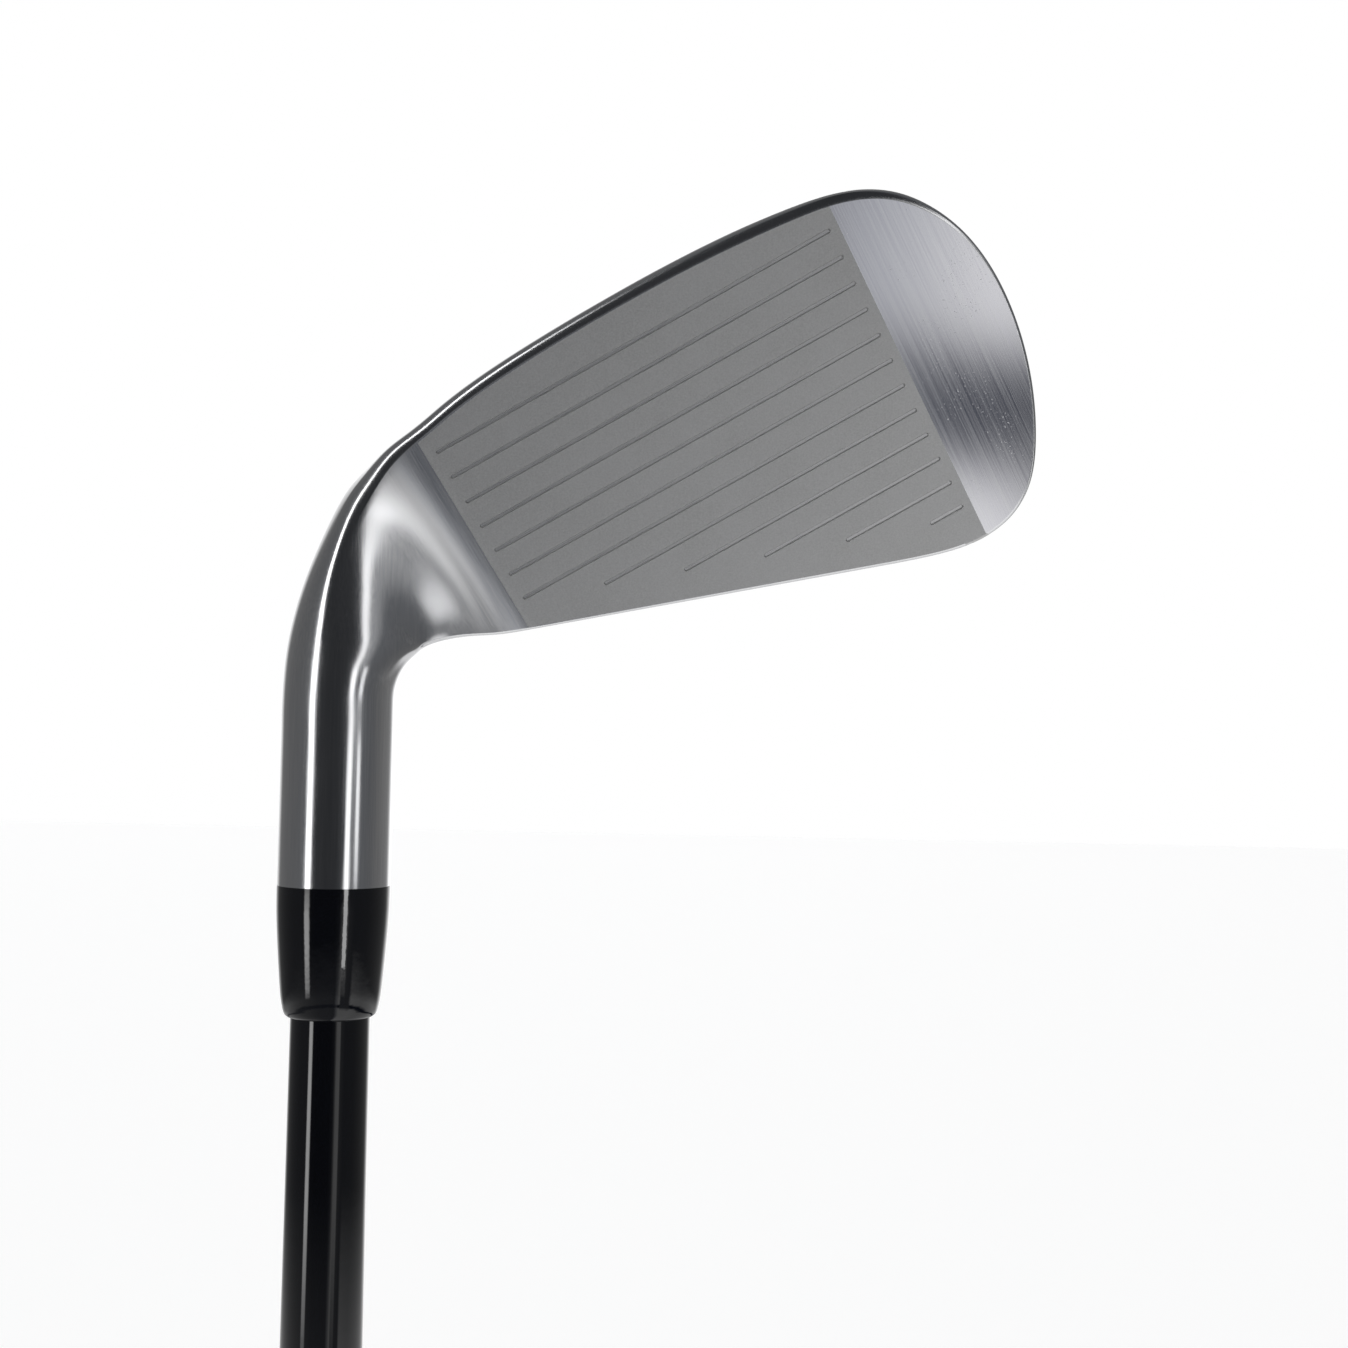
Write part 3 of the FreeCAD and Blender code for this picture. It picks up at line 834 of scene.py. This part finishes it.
def noise(tree, where, size, detail=4.0, roughness=0.55):
    """Noise whose features are about size millimetres across, from 0 to 1."""
    return node(tree, "ShaderNodeTexNoise", {
        "Vector": where, "Scale": 1.0 / (size * MM), "Detail": detail, "Roughness": roughness,
    }).outputs["Fac"]


def streaks(tree, where, way, length, width, detail=3.0):
    """Noise drawn out along a direction, for brushed metal, sizes in millimetres."""
    along_it = vector(tree, "DOT_PRODUCT", where, tuple(way))
    share = 1.0 - width / length
    factor = maths(tree, "MULTIPLY", along_it, share)
    shrink = node(tree, "ShaderNodeVectorMath", {0: tuple(way), "Scale": factor}, operation="SCALE")
    return noise(tree, vector(tree, "SUBTRACT", where, shrink.outputs["Vector"]), width, detail)


def bump(tree, height, distance, strength):
    """A bumped normal, with the distance in millimetres."""
    return node(tree, "ShaderNodeBump", {
        "Height": height, "Distance": distance * MM, "Strength": strength,
    }).outputs["Normal"]


def finish_shader(tree, shader, **inputs):
    """Set the shader's inputs, named with underscores for spaces."""
    feed(tree, shader, {key.replace("_", " "): value for key, value in inputs.items()})


def paint_over(made, factor, colour):
    """Mix a colour over what a finished material's base colour has."""
    tree = made.node_tree
    shader = tree.nodes["Principled BSDF"]
    base = shader.inputs["Base Color"].links[0].from_socket
    finish_shader(tree, shader, Base_Color=mixed_colour(tree, factor, base, colour))


def satin_steel():
    """Polished steel with fine brushing, for the hosel, the edges and the back."""
    made, tree, shader, where = start_material("satin_steel")
    fine = streaks(tree, where, Vector((0, 0, 1)), 9.0, 0.12)
    sheet = streaks(tree, where, UP_WAY, 6.0, 0.10)
    from_origin = vector(tree, "SUBTRACT", where, tuple(FACE_ORIGIN))
    x = maths(tree, "DIVIDE", vector(tree, "DOT_PRODUCT", from_origin, tuple(X_WAY)), MM)
    on_blade = mapped(tree, x, -2.0, 5.0)
    lines = node(tree, "ShaderNodeMix", {0: on_blade, 2: fine, 3: sheet}).outputs[0]
    cloud = noise(tree, where, 14.0, 2.0)
    colour = fibres(tree, lines, 0.35, 0.65, (0.56, 0.565, 0.58, 1), (0.63, 0.63, 0.635, 1))
    rough = mapped(tree, lines, 0.3, 0.7, 0.10, 0.16)
    rough = maths(tree, "ADD", rough, mapped(tree, cloud, 0.3, 0.7, -0.01, 0.03))
    rough = maths(tree, "ADD", rough, mapped(tree, x, -4.0, 3.0, 0.0, 0.05))
    finish_shader(tree, shader, Base_Color=colour, Metallic=1.0, Roughness=rough,
                  Normal=bump(tree, lines, 0.004, 0.5))
    return made


def blasted_steel():
    """Bead-blasted steel, for the hitting face."""
    made, tree, shader, where = start_material("blasted_steel")
    grain = noise(tree, where, 0.22, 3.0, 0.7)
    cloud = noise(tree, where, 9.0, 3.0)
    colour = fibres(tree, grain, 0.3, 0.7, (0.483, 0.483, 0.479, 1), (0.63, 0.63, 0.626, 1))
    clouded = mapped(tree, cloud, 0.35, 0.65, 0.0, 0.25)
    colour = mixed_colour(tree, clouded, colour, (0.63, 0.63, 0.635, 1))
    finish_shader(tree, shader, Base_Color=colour, Metallic=1.0,
                  Roughness=mapped(tree, grain, 0.25, 0.75, 0.44, 0.56),
                  Normal=bump(tree, grain, 0.02, 0.35))
    return made


def brushed_toe():
    """The toe's brushed bright steel, scored square to the grooves, with a few handling marks."""
    made, tree, shader, where = start_material("brushed_toe")
    coarse = streaks(tree, where, UP_WAY, 26.0, 0.20, 4.0)
    fine = streaks(tree, where, UP_WAY, 9.0, 0.07, 2.0)
    lines = maths(tree, "MULTIPLY", coarse, 0.65)
    lines = maths(tree, "ADD", lines, maths(tree, "MULTIPLY", fine, 0.35))
    pits = noise(tree, where, 0.22, 1.0)
    spread = noise(tree, where, 6.0, 1.0)
    marks = mapped(tree, pits, 0.68, 0.74, 0.0, 0.7)
    marks = maths(tree, "MULTIPLY", marks, mapped(tree, spread, 0.54, 0.60))
    colour = fibres(tree, lines, 0.38, 0.62, (0.53, 0.525, 0.56, 1), (0.64, 0.64, 0.66, 1))
    colour = mixed_colour(tree, marks, colour, (0.85, 0.85, 0.86, 1))
    rough = mapped(tree, lines, 0.3, 0.7, 0.07, 0.13)
    rough = maths(tree, "ADD", rough, maths(tree, "MULTIPLY", marks, 0.3))
    tangent = node(tree, "ShaderNodeCombineXYZ", dict(enumerate(X_WAY))).outputs[0]
    finish_shader(tree, shader, Base_Color=colour, Metallic=1.0, Roughness=rough, Anisotropic=0.5,
                  Tangent=tangent, Normal=bump(tree, maths(tree, "ADD", lines, marks), 0.0016, 0.5))
    return made


def cavity_steel():
    """The cavity's milled floor."""
    made, tree, shader, where = start_material("cavity_steel")
    lines = streaks(tree, where, X_WAY, 14.0, 0.25)
    finish_shader(tree, shader, Base_Color=fibres(tree, lines, 0.35, 0.65, grey(0.34), grey(0.45)),
                  Metallic=1.0, Roughness=mapped(tree, lines, 0.3, 0.7, 0.28, 0.42),
                  Normal=bump(tree, lines, 0.015, 0.5))
    return made


def groove_steel():
    """The bright cut floor of the scorelines."""
    made, tree, shader, where = start_material("groove_steel")
    lines = streaks(tree, where, X_WAY, 5.0, 0.08)
    finish_shader(tree, shader, Metallic=1.0, Roughness=mapped(tree, lines, 0.3, 0.7, 0.24, 0.36),
                  Base_Color=mixed_colour(tree, lines, grey(0.50), grey(0.62)))
    return made


def gloss_black(name, ripple, wave):
    """Black gloss with a faint waviness and a little dust."""
    made, tree, shader, where = start_material(name)
    swell = noise(tree, where, ripple, 2.0)
    dust = noise(tree, where, 0.15, 2.0)
    black = (0.0012, 0.0014, 0.0024)
    dusty = tuple(2.2 * c for c in black)
    finish_shader(tree, shader, Base_Color=fibres(tree, dust, 0.4, 0.7, (*black, 1), (*dusty, 1)),
                  Roughness=mapped(tree, swell, 0.3, 0.7, 0.0315, 0.063), IOR=1.5,
                  Normal=bump(tree, swell, 0.02, wave))
    return made


dress(head, "head", "head_steel", 30,
      satin_steel(), blasted_steel(), brushed_toe(), cavity_steel(), groove_steel())
head_zones(head)


# ---- turned pieces ----
def end_radius(node_name, upper):
    """Outer radius of a turned CAD node at its upper or lower end."""
    points = np.array([v.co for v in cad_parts[node_name].data.vertices])
    end = points[:, 2].max() if upper else points[:, 2].min()
    ring = points[np.abs(points[:, 2] - end) < 0.01 * MM]
    return float(np.linalg.norm(ring[:, :2], axis=1).max())


shaft_low, shaft_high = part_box("shaft")
SHAFT_ENDS = (shaft_low.z, shaft_high.z)
SHAFT_RADII = (end_radius("shaft", False), end_radius("shaft", True))


def shaft_radius(z):
    return float(np.interp(z, SHAFT_ENDS, SHAFT_RADII))


def make_ferrule():
    """The collar that swells from the shaft to the hosel's width, its tail rounded over."""
    low, high = ferrule_low.z, ferrule_high.z
    radius = ferrule_high.x
    # (share of the radius, share of the height)
    swell = [
        (0.836, 0.050), (0.866, 0.11), (0.905, 0.25), (0.950, 0.49), (0.980, 0.68),
        (0.996, 0.84), (1.0, 0.97),
    ]
    points = [(radius * a, low + (high - low) * b) for a, b in swell]
    knots = along(points)
    side = spline(knots, points, np.linspace(0.0, knots[-1], 60))
    profile = [
        (shaft_radius(low), low + 0.10 * MM), (0.735 * radius, low),
        (0.78 * radius, low + 0.12 * MM), (0.815 * radius, low + 0.38 * MM), *side.tolist(),
    ]
    profile += [(radius, high), (shaft_radius(high), high)]
    piece = lathe("ferrule_collar", profile, 128)
    dress(piece, "ferrule", "black_gloss", 50, gloss_black("ferrule_gloss", 1.4, 0.5))
    return piece


def make_shaft():
    """The tapered tube, open from end to end."""
    wall = 1.2 * MM
    z = np.linspace(*SHAFT_ENDS, 40)
    outer = [(shaft_radius(height), height) for height in z]
    # the wall thickens towards the tip
    inner = [(shaft_radius(height) - wall - height * 1.05 * MM, height) for height in z[::-3]]
    piece = lathe("shaft_tube", outer + inner, 96)
    dress(piece, "shaft", "shaft_black", 35, shaft_paint())


# the grip, as heights in millimetres above its open butt end
COLLAR_RINGS = (5.6, 8.6, 11.6)
TREADS = ((16.0, 92.0), (103.0, 247.0))
BAND_RINGS = (95.5, 97.5, 99.5)
MOUTH_RINGS = (251.5, 254.0)
DIAMONDS_ROUND = 14
DIAMOND_PITCH = 5.6
TREAD_DEPTH = 0.42
GRIP_SHAPE = [
    (14.9, 0.0), (14.45, 3.0), (13.2, 9.5), (12.75, 21.0), (12.25, 46.5), (11.0, 118.0),
    (9.75, 196.0), (8.9, 250.0), (8.75, 258.0), (9.05, 260.8), (9.2, 262.8), (8.95, 264.5),
]


def tread_relief(turn, height):
    """Depth of the moulded pattern in millimetres, at an angle round and a height up the grip."""
    def line(value, width):
        """1 on whole numbers of value, fading over a width in millimetres."""
        gap = np.abs(value - np.round(value)) * DIAMOND_PITCH * 0.7
        return np.exp(-(gap / width) ** 2)

    around_it = DIAMONDS_ROUND * turn / (2 * math.pi)
    up = height / DIAMOND_PITCH
    first, second = around_it + up, around_it - up
    cross = np.maximum(line(first, 0.42), line(second, 0.42))
    half = np.hypot(first - np.floor(first) - 0.5, second - np.floor(second) - 0.5)
    dimple = 0.55 * np.exp(-(half / 0.13) ** 2)
    inside = sum(
        smooth((height - low) / 1.2) * smooth((high - height) / 1.2) for low, high in TREADS
    )
    rings = sum(
        np.exp(-((height - ring) / 0.45) ** 2) for ring in COLLAR_RINGS + BAND_RINGS + MOUTH_RINGS
    )
    return TREAD_DEPTH * (np.maximum(cross, dimple) * inside + 0.8 * rings)


def make_grip():
    """The rubber sleeve with its moulded diamonds, collar rings and rolled mouth."""
    low = grip_low.z
    length = (grip_high.z - low) / MM
    shape = np.array(GRIP_SHAPE)
    height = np.linspace(0.0, length, 430)
    radius = spline(shape[:, 1] * length / shape[-1, 1], shape[:, :1], height)[:, 0]
    outer = np.stack([np.minimum(radius, grip_high.x / MM) * MM, low + height * MM], axis=1)
    clear = 0.15 * MM
    inner = [(shaft_radius(z) + clear, z) for z in np.linspace(grip_high.z, low, 12)]
    profile = np.concatenate([outer, inner])
    piece = lathe("grip_sleeve", profile, 168)
    points = np.array([v.co for v in piece.data.vertices])
    turn = np.arctan2(points[:, 1], points[:, 0])
    reach = np.linalg.norm(points[:, :2], axis=1)
    up = (points[:, 2] - low) / MM
    outside = reach > np.interp(points[:, 2], SHAFT_ENDS, SHAFT_RADII) + MM
    depth = np.where(outside, tread_relief(turn, up), 0.0)
    points[:, :2] *= (1 - depth * MM / reach)[:, None]
    piece.data.vertices.foreach_set("co", points.ravel())
    mark = piece.data.attributes.new("moulded_depth", "FLOAT", "POINT")
    mark.data.foreach_set("value", depth / TREAD_DEPTH)
    piece.data.update()
    dress(piece, "grip", "grip_rubber", 60, grip_rubber())


def make_cap():
    """The butt cap: a domed edge, turned rings and the vent hole."""
    low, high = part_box("grip_cap")
    radius = high.x / MM
    thick = (high.z - low.z) / MM
    vent = 1.6
    face = [(vent, 0.75), (vent + 0.45, 0.32), (vent + 1.1, 0.22)]
    face += [(5.6, 0.22), (5.9, 0.0), (6.9, 0.0), (7.1, 0.28), (7.7, 0.28), (7.9, 0.0), (10.4, 0.0)]
    face += [(10.6, 0.28), (11.2, 0.28), (11.4, 0.0), (12.6, 0.0)]
    dome = 1.5
    edge = [
        (radius - dome + dome * math.sin(a), dome - dome * math.cos(a))
        for a in np.radians(np.linspace(20, 90, 10))
    ]
    side = [(radius, thick - 0.5), (radius - 0.25, thick - 0.2), (radius - 0.25, thick), (vent, thick)]
    profile = [(r * MM, low.z + z * MM) for r, z in face + edge + side]
    piece = lathe("butt_cap", profile, 120)
    dress(piece, "grip_cap", "cap_rubber", 30, rubber("cap_rubber", 0.016, 0.5))


# ---- badge in the cavity ----
BADGE = [
    (21.0, 15.8, 2.0), (60.0, 15.0, 6.0), (72.6, 18.0, 7.0), (74.2, 29.0, 7.0),
    (70.0, 34.5, 5.0), (23.0, 24.4, 2.5),
]
BADGE_BACK, BADGE_FACE = 3.5, 4.7
RECESS = 0.3
BAR_LOW, BAR_LEAN, BAR_WIDTH = 18.2, 4.2, 2.2


def make_badge():
    """A framed plate with five slanting bars."""
    outline = rounded_outline(BADGE)
    plate = prism("plate", [
        layer(outline, BADGE_BACK),
        layer(outline, BADGE_FACE - 0.25),
        layer(inset(outline, 0.25), BADGE_FACE),
        layer(inset(outline, 1.35), BADGE_FACE),
        layer(inset(outline, 1.5), BADGE_FACE - RECESS),
    ])
    pieces = [plate]
    for k in range(5):
        x = 33.0 + 6.5 * k
        top = 21.6 + 0.215 * (x + BAR_LEAN - 21.0)
        bar = rounded_outline([
            (x, BAR_LOW, 0.5), (x + BAR_WIDTH, BAR_LOW, 0.5),
            (x + BAR_WIDTH + BAR_LEAN, top, 0.5), (x + BAR_LEAN, top, 0.5),
        ])
        made = prism("bar", [
            layer(bar, BADGE_FACE - RECESS - 0.1),
            layer(bar, BADGE_FACE - 0.15),
            layer(inset(bar, 0.12), BADGE_FACE - 0.03),
        ])
        made.data.polygons.foreach_set("material_index", np.full(len(made.data.polygons), 1))
        pieces.append(made)
    badge = joined("badge_plate", pieces)
    dress(badge, "cavity_badge", "badge_metal", 25,
          brushed_metal("badge_dark", (0.045, 0.048, 0.055), 0.34, X_WAY),
          brushed_metal("badge_bright", (0.62, 0.62, 0.63), 0.18, UP_WAY))


def brushed_metal(name, colour, roughness, way):
    made, tree, shader, where = start_material(name)
    lines = streaks(tree, where, way, 8.0, 0.12)
    dark = (*(c * 0.75 for c in colour), 1)
    finish_shader(tree, shader, Base_Color=fibres(tree, lines, 0.35, 0.65, dark, (*colour, 1)),
                  Metallic=1.0, Roughness=mapped(tree, lines, 0.3, 0.7, roughness * 0.8, roughness * 1.25),
                  Normal=bump(tree, lines, 0.004, 0.6))
    return made


def rubber(name, tone, roughness):
    """Moulded black rubber with a matt bloom."""
    made, tree, shader, where = start_material(name)
    grain = noise(tree, where, 0.35, 3.0)
    bloom = noise(tree, where, 18.0, 3.0)
    finish_shader(tree, shader, Base_Color=fibres(tree, bloom, 0.35, 0.7, grey(tone), grey(tone * 1.5)),
                  Roughness=mapped(tree, grain, 0.3, 0.7, roughness, roughness + 0.16),
                  Normal=bump(tree, grain, 0.03, 0.5))
    return made


def grip_rubber():
    """Rubber whose moulded grooves hold a little dust."""
    made = rubber("grip_rubber", 0.014, 0.55)
    tree = made.node_tree
    depth = node(tree, "ShaderNodeAttribute", attribute_name="moulded_depth").outputs["Fac"]
    paint_over(made, mapped(tree, depth, 0.4, 1.0, 0.0, 0.55), (0.05, 0.048, 0.045, 1))
    return made


def shaft_paint():
    """The shaft's black gloss, with a fine fleck and three silver rings by the grip's mouth."""
    made = gloss_black("shaft_gloss", 3.0, 0.25)
    tree = made.node_tree
    where = node(tree, "ShaderNodeTexCoord").outputs["Object"]
    height = node(tree, "ShaderNodeSeparateXYZ", {0: where}).outputs[2]
    ring = 0.0
    for number, width in enumerate((1.2, 0.5, 0.5)):
        middle = grip_high.z + (6.0 + 2.2 * number) * MM
        gap = maths(tree, "ABSOLUTE", maths(tree, "SUBTRACT", height, middle))
        ring = maths(tree, "ADD", ring, maths(tree, "LESS_THAN", gap, width * MM / 2))
    paint_over(made, ring, (0.55, 0.55, 0.56, 1))
    finish_shader(tree, tree.nodes["Principled BSDF"], Metallic=ring)
    return made


def plain(name, dark, light, size, **settings):
    """A mottled material for the small parts inside."""
    made, tree, shader, where = start_material(name)
    cloud = noise(tree, where, size, 4.0)
    finish_shader(tree, shader, Base_Color=fibres(tree, cloud, 0.35, 0.65, (*dark, 1), (*light, 1)),
                  Normal=bump(tree, cloud, 0.03, 0.4), **settings)
    return made


ferrule = make_ferrule()
make_shaft()
make_grip()
make_cap()
make_badge()

HIDDEN = {
    "tip_weight": plain("turned_brass", (0.60, 0.42, 0.14), (0.78, 0.57, 0.22), 0.6,
                        Metallic=1.0, Roughness=0.3),
    "hosel_epoxy": plain("cured_epoxy", (0.42, 0.27, 0.08), (0.55, 0.38, 0.13), 1.2, Roughness=0.35),
    "grip_tape": plain("tape_paper", (0.62, 0.58, 0.48), (0.74, 0.70, 0.60), 0.8, Roughness=0.8),
    "badge_tape": plain("foam_tape", (0.10, 0.10, 0.11), (0.18, 0.18, 0.19), 0.4, Roughness=0.9),
}
for node_name, finish in HIDDEN.items():
    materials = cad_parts[node_name].data.materials
    materials.clear()
    materials.append(finish)


# ---- studio ----
# what stands round the club, as (azimuth in degrees, brightness, blue shift)
LAMP, SIDE_LAMP = 3.4, 2.3
BEHIND_LEFT = [
    (-180, 1.6, 0), (-158, 1.25, 0), (-148, 0.95, 0), (-138, 0.8, 0),
    (-131, 0.36, 0), (-125, 0.2, 0), (-100, 0.165, 0.01), (-72, 0.15, 0.02), (-46, 0.17, 0.03),
]
IN_FRONT = [(-33, 0.06, 0.05), (-20, 0.04, 0.06), (0, 0.038, 0.06), (20, 0.042, 0.06)]
BEHIND_RIGHT = [
    (90, 0.145, 0.03), (112, 0.19, 0), (140, 0.25, 0), (149, 0.32, 0), (154, 0.6, 0),
    (160, 1.1, 0), (167, 1.6, 0), (180, 1.6, 0),
]
# the right-hand lamp's side level with the head, higher up and lower down
RIGHT_LEVEL = [
    (34.5, 0.08, 0.05), (36, SIDE_LAMP, 0), (43.5, SIDE_LAMP, 0), (45.5, 0.15, 0.05),
    (60, 0.142, 0.05),
]
RIGHT_HIGH = [
    (34.5, 0.08, 0.05), (36.5, 1.7, 0), (43.5, 1.7, 0), (46, 0.42, 0.02), (55, 0.4, 0.02),
    (63, 0.16, 0.05),
]
RIGHT_LOW = [
    (29, 0.1, 0.05), (33, 0.45, 0), (36, 1.15, 0), (45, 1.25, 0), (47.5, 0.25, 0.02),
    (60, 0.142, 0.05),
]


def all_round(left_lamp, right):
    lamp = [(-44, left_lamp, 0), (-35.5, left_lamp, 0)]
    return BEHIND_LEFT + lamp + IN_FRONT + right + BEHIND_RIGHT


ABOVE = [
    (azimuth, min(value, 0.22), blue)
    for azimuth, value, blue in all_round(LAMP, RIGHT_LEVEL) if value < SIDE_LAMP
]
# the pale table in front and below, brighter towards the toe
BELOW = [
    (-180, 1, 0), (-120, 0.8, 0), (-60, 0.45, 0), (-15, 0.25, 0.03), (24, 0.22, 0.04),
    (27.5, 0.56, 0.04), (29, 0.72, 0.04), (30.5, 0.8, 0.02), (32, 1, 0), (34, 1.28, 0),
    (60, 1.3, 0), (90, 1, 0), (180, 1, 0),
]
SLATE_BAND = ((-30.0, -28.3), (-26.2, -24.4))
TOP_SCALE = 10.0


def tinted(value, blue):
    """A ramp colour, scaled down so that the lamps fit in it."""
    value /= TOP_SCALE
    return (value * (1 - blue), value * (1 - blue / 3), value * (1 + blue))


def set_studio():
    world = bpy.data.worlds.new("studio_world")
    bpy.context.scene.world = world
    world.use_nodes = True
    tree = world.node_tree
    tree.nodes.clear()
    way = node(tree, "ShaderNodeTexCoord").outputs["Generated"]
    parts = node(tree, "ShaderNodeSeparateXYZ", {0: way}).outputs
    azimuth = maths(tree, "ARCTAN2", parts[0], maths(tree, "MULTIPLY", parts[1], -1.0))
    elevation = maths(tree, "DEGREES", maths(tree, "ARCSINE", parts[2]))
    degrees = maths(tree, "DEGREES", azimuth)
    # the right-hand lamp leans outwards above the head
    lean = maths(tree, "MULTIPLY", mapped(tree, elevation, 0, 22, 0, 18.5), mapped(tree, degrees, 20, 34))
    turn = mapped(tree, maths(tree, "SUBTRACT", degrees, lean), -180, 180)

    def sweep(stops):
        return ramp(tree, turn, [((a + 180) / 360, tinted(v, b)) for a, v, b in stops])

    low_edge = mapped(tree, elevation, *SLATE_BAND[0])
    high_edge = mapped(tree, elevation, *SLATE_BAND[1], 1.0, 0.0)
    band = maths(tree, "MULTIPLY", low_edge, high_edge)
    band = maths(tree, "MULTIPLY", band, mapped(tree, degrees, 29.5, 32.5, 0.68, 1.0))
    below = mixed_colour(tree, band, sweep(BELOW), (0.0035, 0.0043, 0.0066, 1))
    # a dark patch beyond the table's edge, which the heel reflects
    gap = maths(tree, "MULTIPLY", mapped(tree, degrees, 34.5, 37.5), mapped(tree, degrees, 63, 58))
    gap = maths(tree, "MULTIPLY", gap, mapped(tree, elevation, -31.5, -28.5))
    below = mixed_colour(tree, gap, below, (0.0200, 0.0205, 0.0215, 1))
    reach = maths(tree, "ADD", elevation, mapped(tree, degrees, -10, 10, 0, 16))
    level = mixed_colour(tree, mapped(tree, elevation, -2.5, 0.5), sweep(all_round(LAMP, RIGHT_LEVEL)),
                         sweep(all_round(LAMP, RIGHT_HIGH)))
    level = mixed_colour(tree, mapped(tree, elevation, -5.0, -8.5), level, sweep(all_round(6.0, RIGHT_LOW)))
    colour = mixed_colour(tree, mapped(tree, reach, 43, 48), level, sweep(ABOVE))
    colour = mixed_colour(tree, mapped(tree, elevation, -14, -20), colour, below)
    room = node(tree, "ShaderNodeBackground", {"Color": colour, "Strength": TOP_SCALE})
    seen = node(tree, "ShaderNodeBackground", {"Color": (1, 1, 1, 1), "Strength": 1.0})
    path = node(tree, "ShaderNodeLightPath")
    both = node(tree, "ShaderNodeMixShader", {
        0: path.outputs["Is Camera Ray"], 1: room.outputs[0], 2: seen.outputs[0],
    })
    node(tree, "ShaderNodeOutputWorld", {"Surface": both.outputs[0]})
    bpy.context.scene.view_settings.view_transform = "Standard"


set_studio()


def add_card(piece, target, azimuth, elevation, distance, width, height, brightness):
    """A small soft panel of light on one piece, at a bearing in degrees from a target point."""
    data = bpy.data.lights.new("card", "AREA")
    data.shape = "RECTANGLE"
    data.size, data.size_y = width, height
    data.energy = brightness * math.pi * width * height
    card = add_object("card", data)
    a, e = math.radians(azimuth), math.radians(elevation)
    way = Vector((math.sin(a) * math.cos(e), -math.cos(a) * math.cos(e), math.sin(e)))
    card.location = target + way * distance
    card.rotation_euler = way.to_track_quat("Z", "Y").to_euler()
    card.visible_camera = False
    lit = bpy.data.collections.new("lit_by_card")
    lit.objects.link(piece)
    card.light_linking.receiver_collection = lit


SCOOP = Vector(place(from_face(4.5, 16.0, 0.0)))
add_card(head, SCOOP, 57.0, -8.0, 0.30, 0.040, 0.044, 1.45)
add_card(ferrule, (ferrule_low + ferrule_high) / 2, 39.5, -6.5, 0.15, 0.020, 0.050, 6.5)


# ---- floor ----
def make_floor():
    """A pale floor just under the club, which glows a little so that it reads as white."""
    half = 20.0
    corners = [(-half, -half, 0), (half, -half, 0), (half, half, 0), (-half, half, 0)]
    mesh = bpy.data.meshes.new("floor")
    mesh.from_pydata(corners, [], [(0, 1, 2, 3)])
    floor = add_object("floor", mesh)
    floor.location.z = cad_box[0][2] - 0.5 * MM
    paint, tree, shader = start_material("floor_paint")[:3]
    finish_shader(tree, shader, Base_Color=grey(0.9), Roughness=0.9, Emission_Color=grey(1),
                  Emission_Strength=0.7)
    mesh.materials.append(paint)
    floor.visible_glossy = False


make_floor()
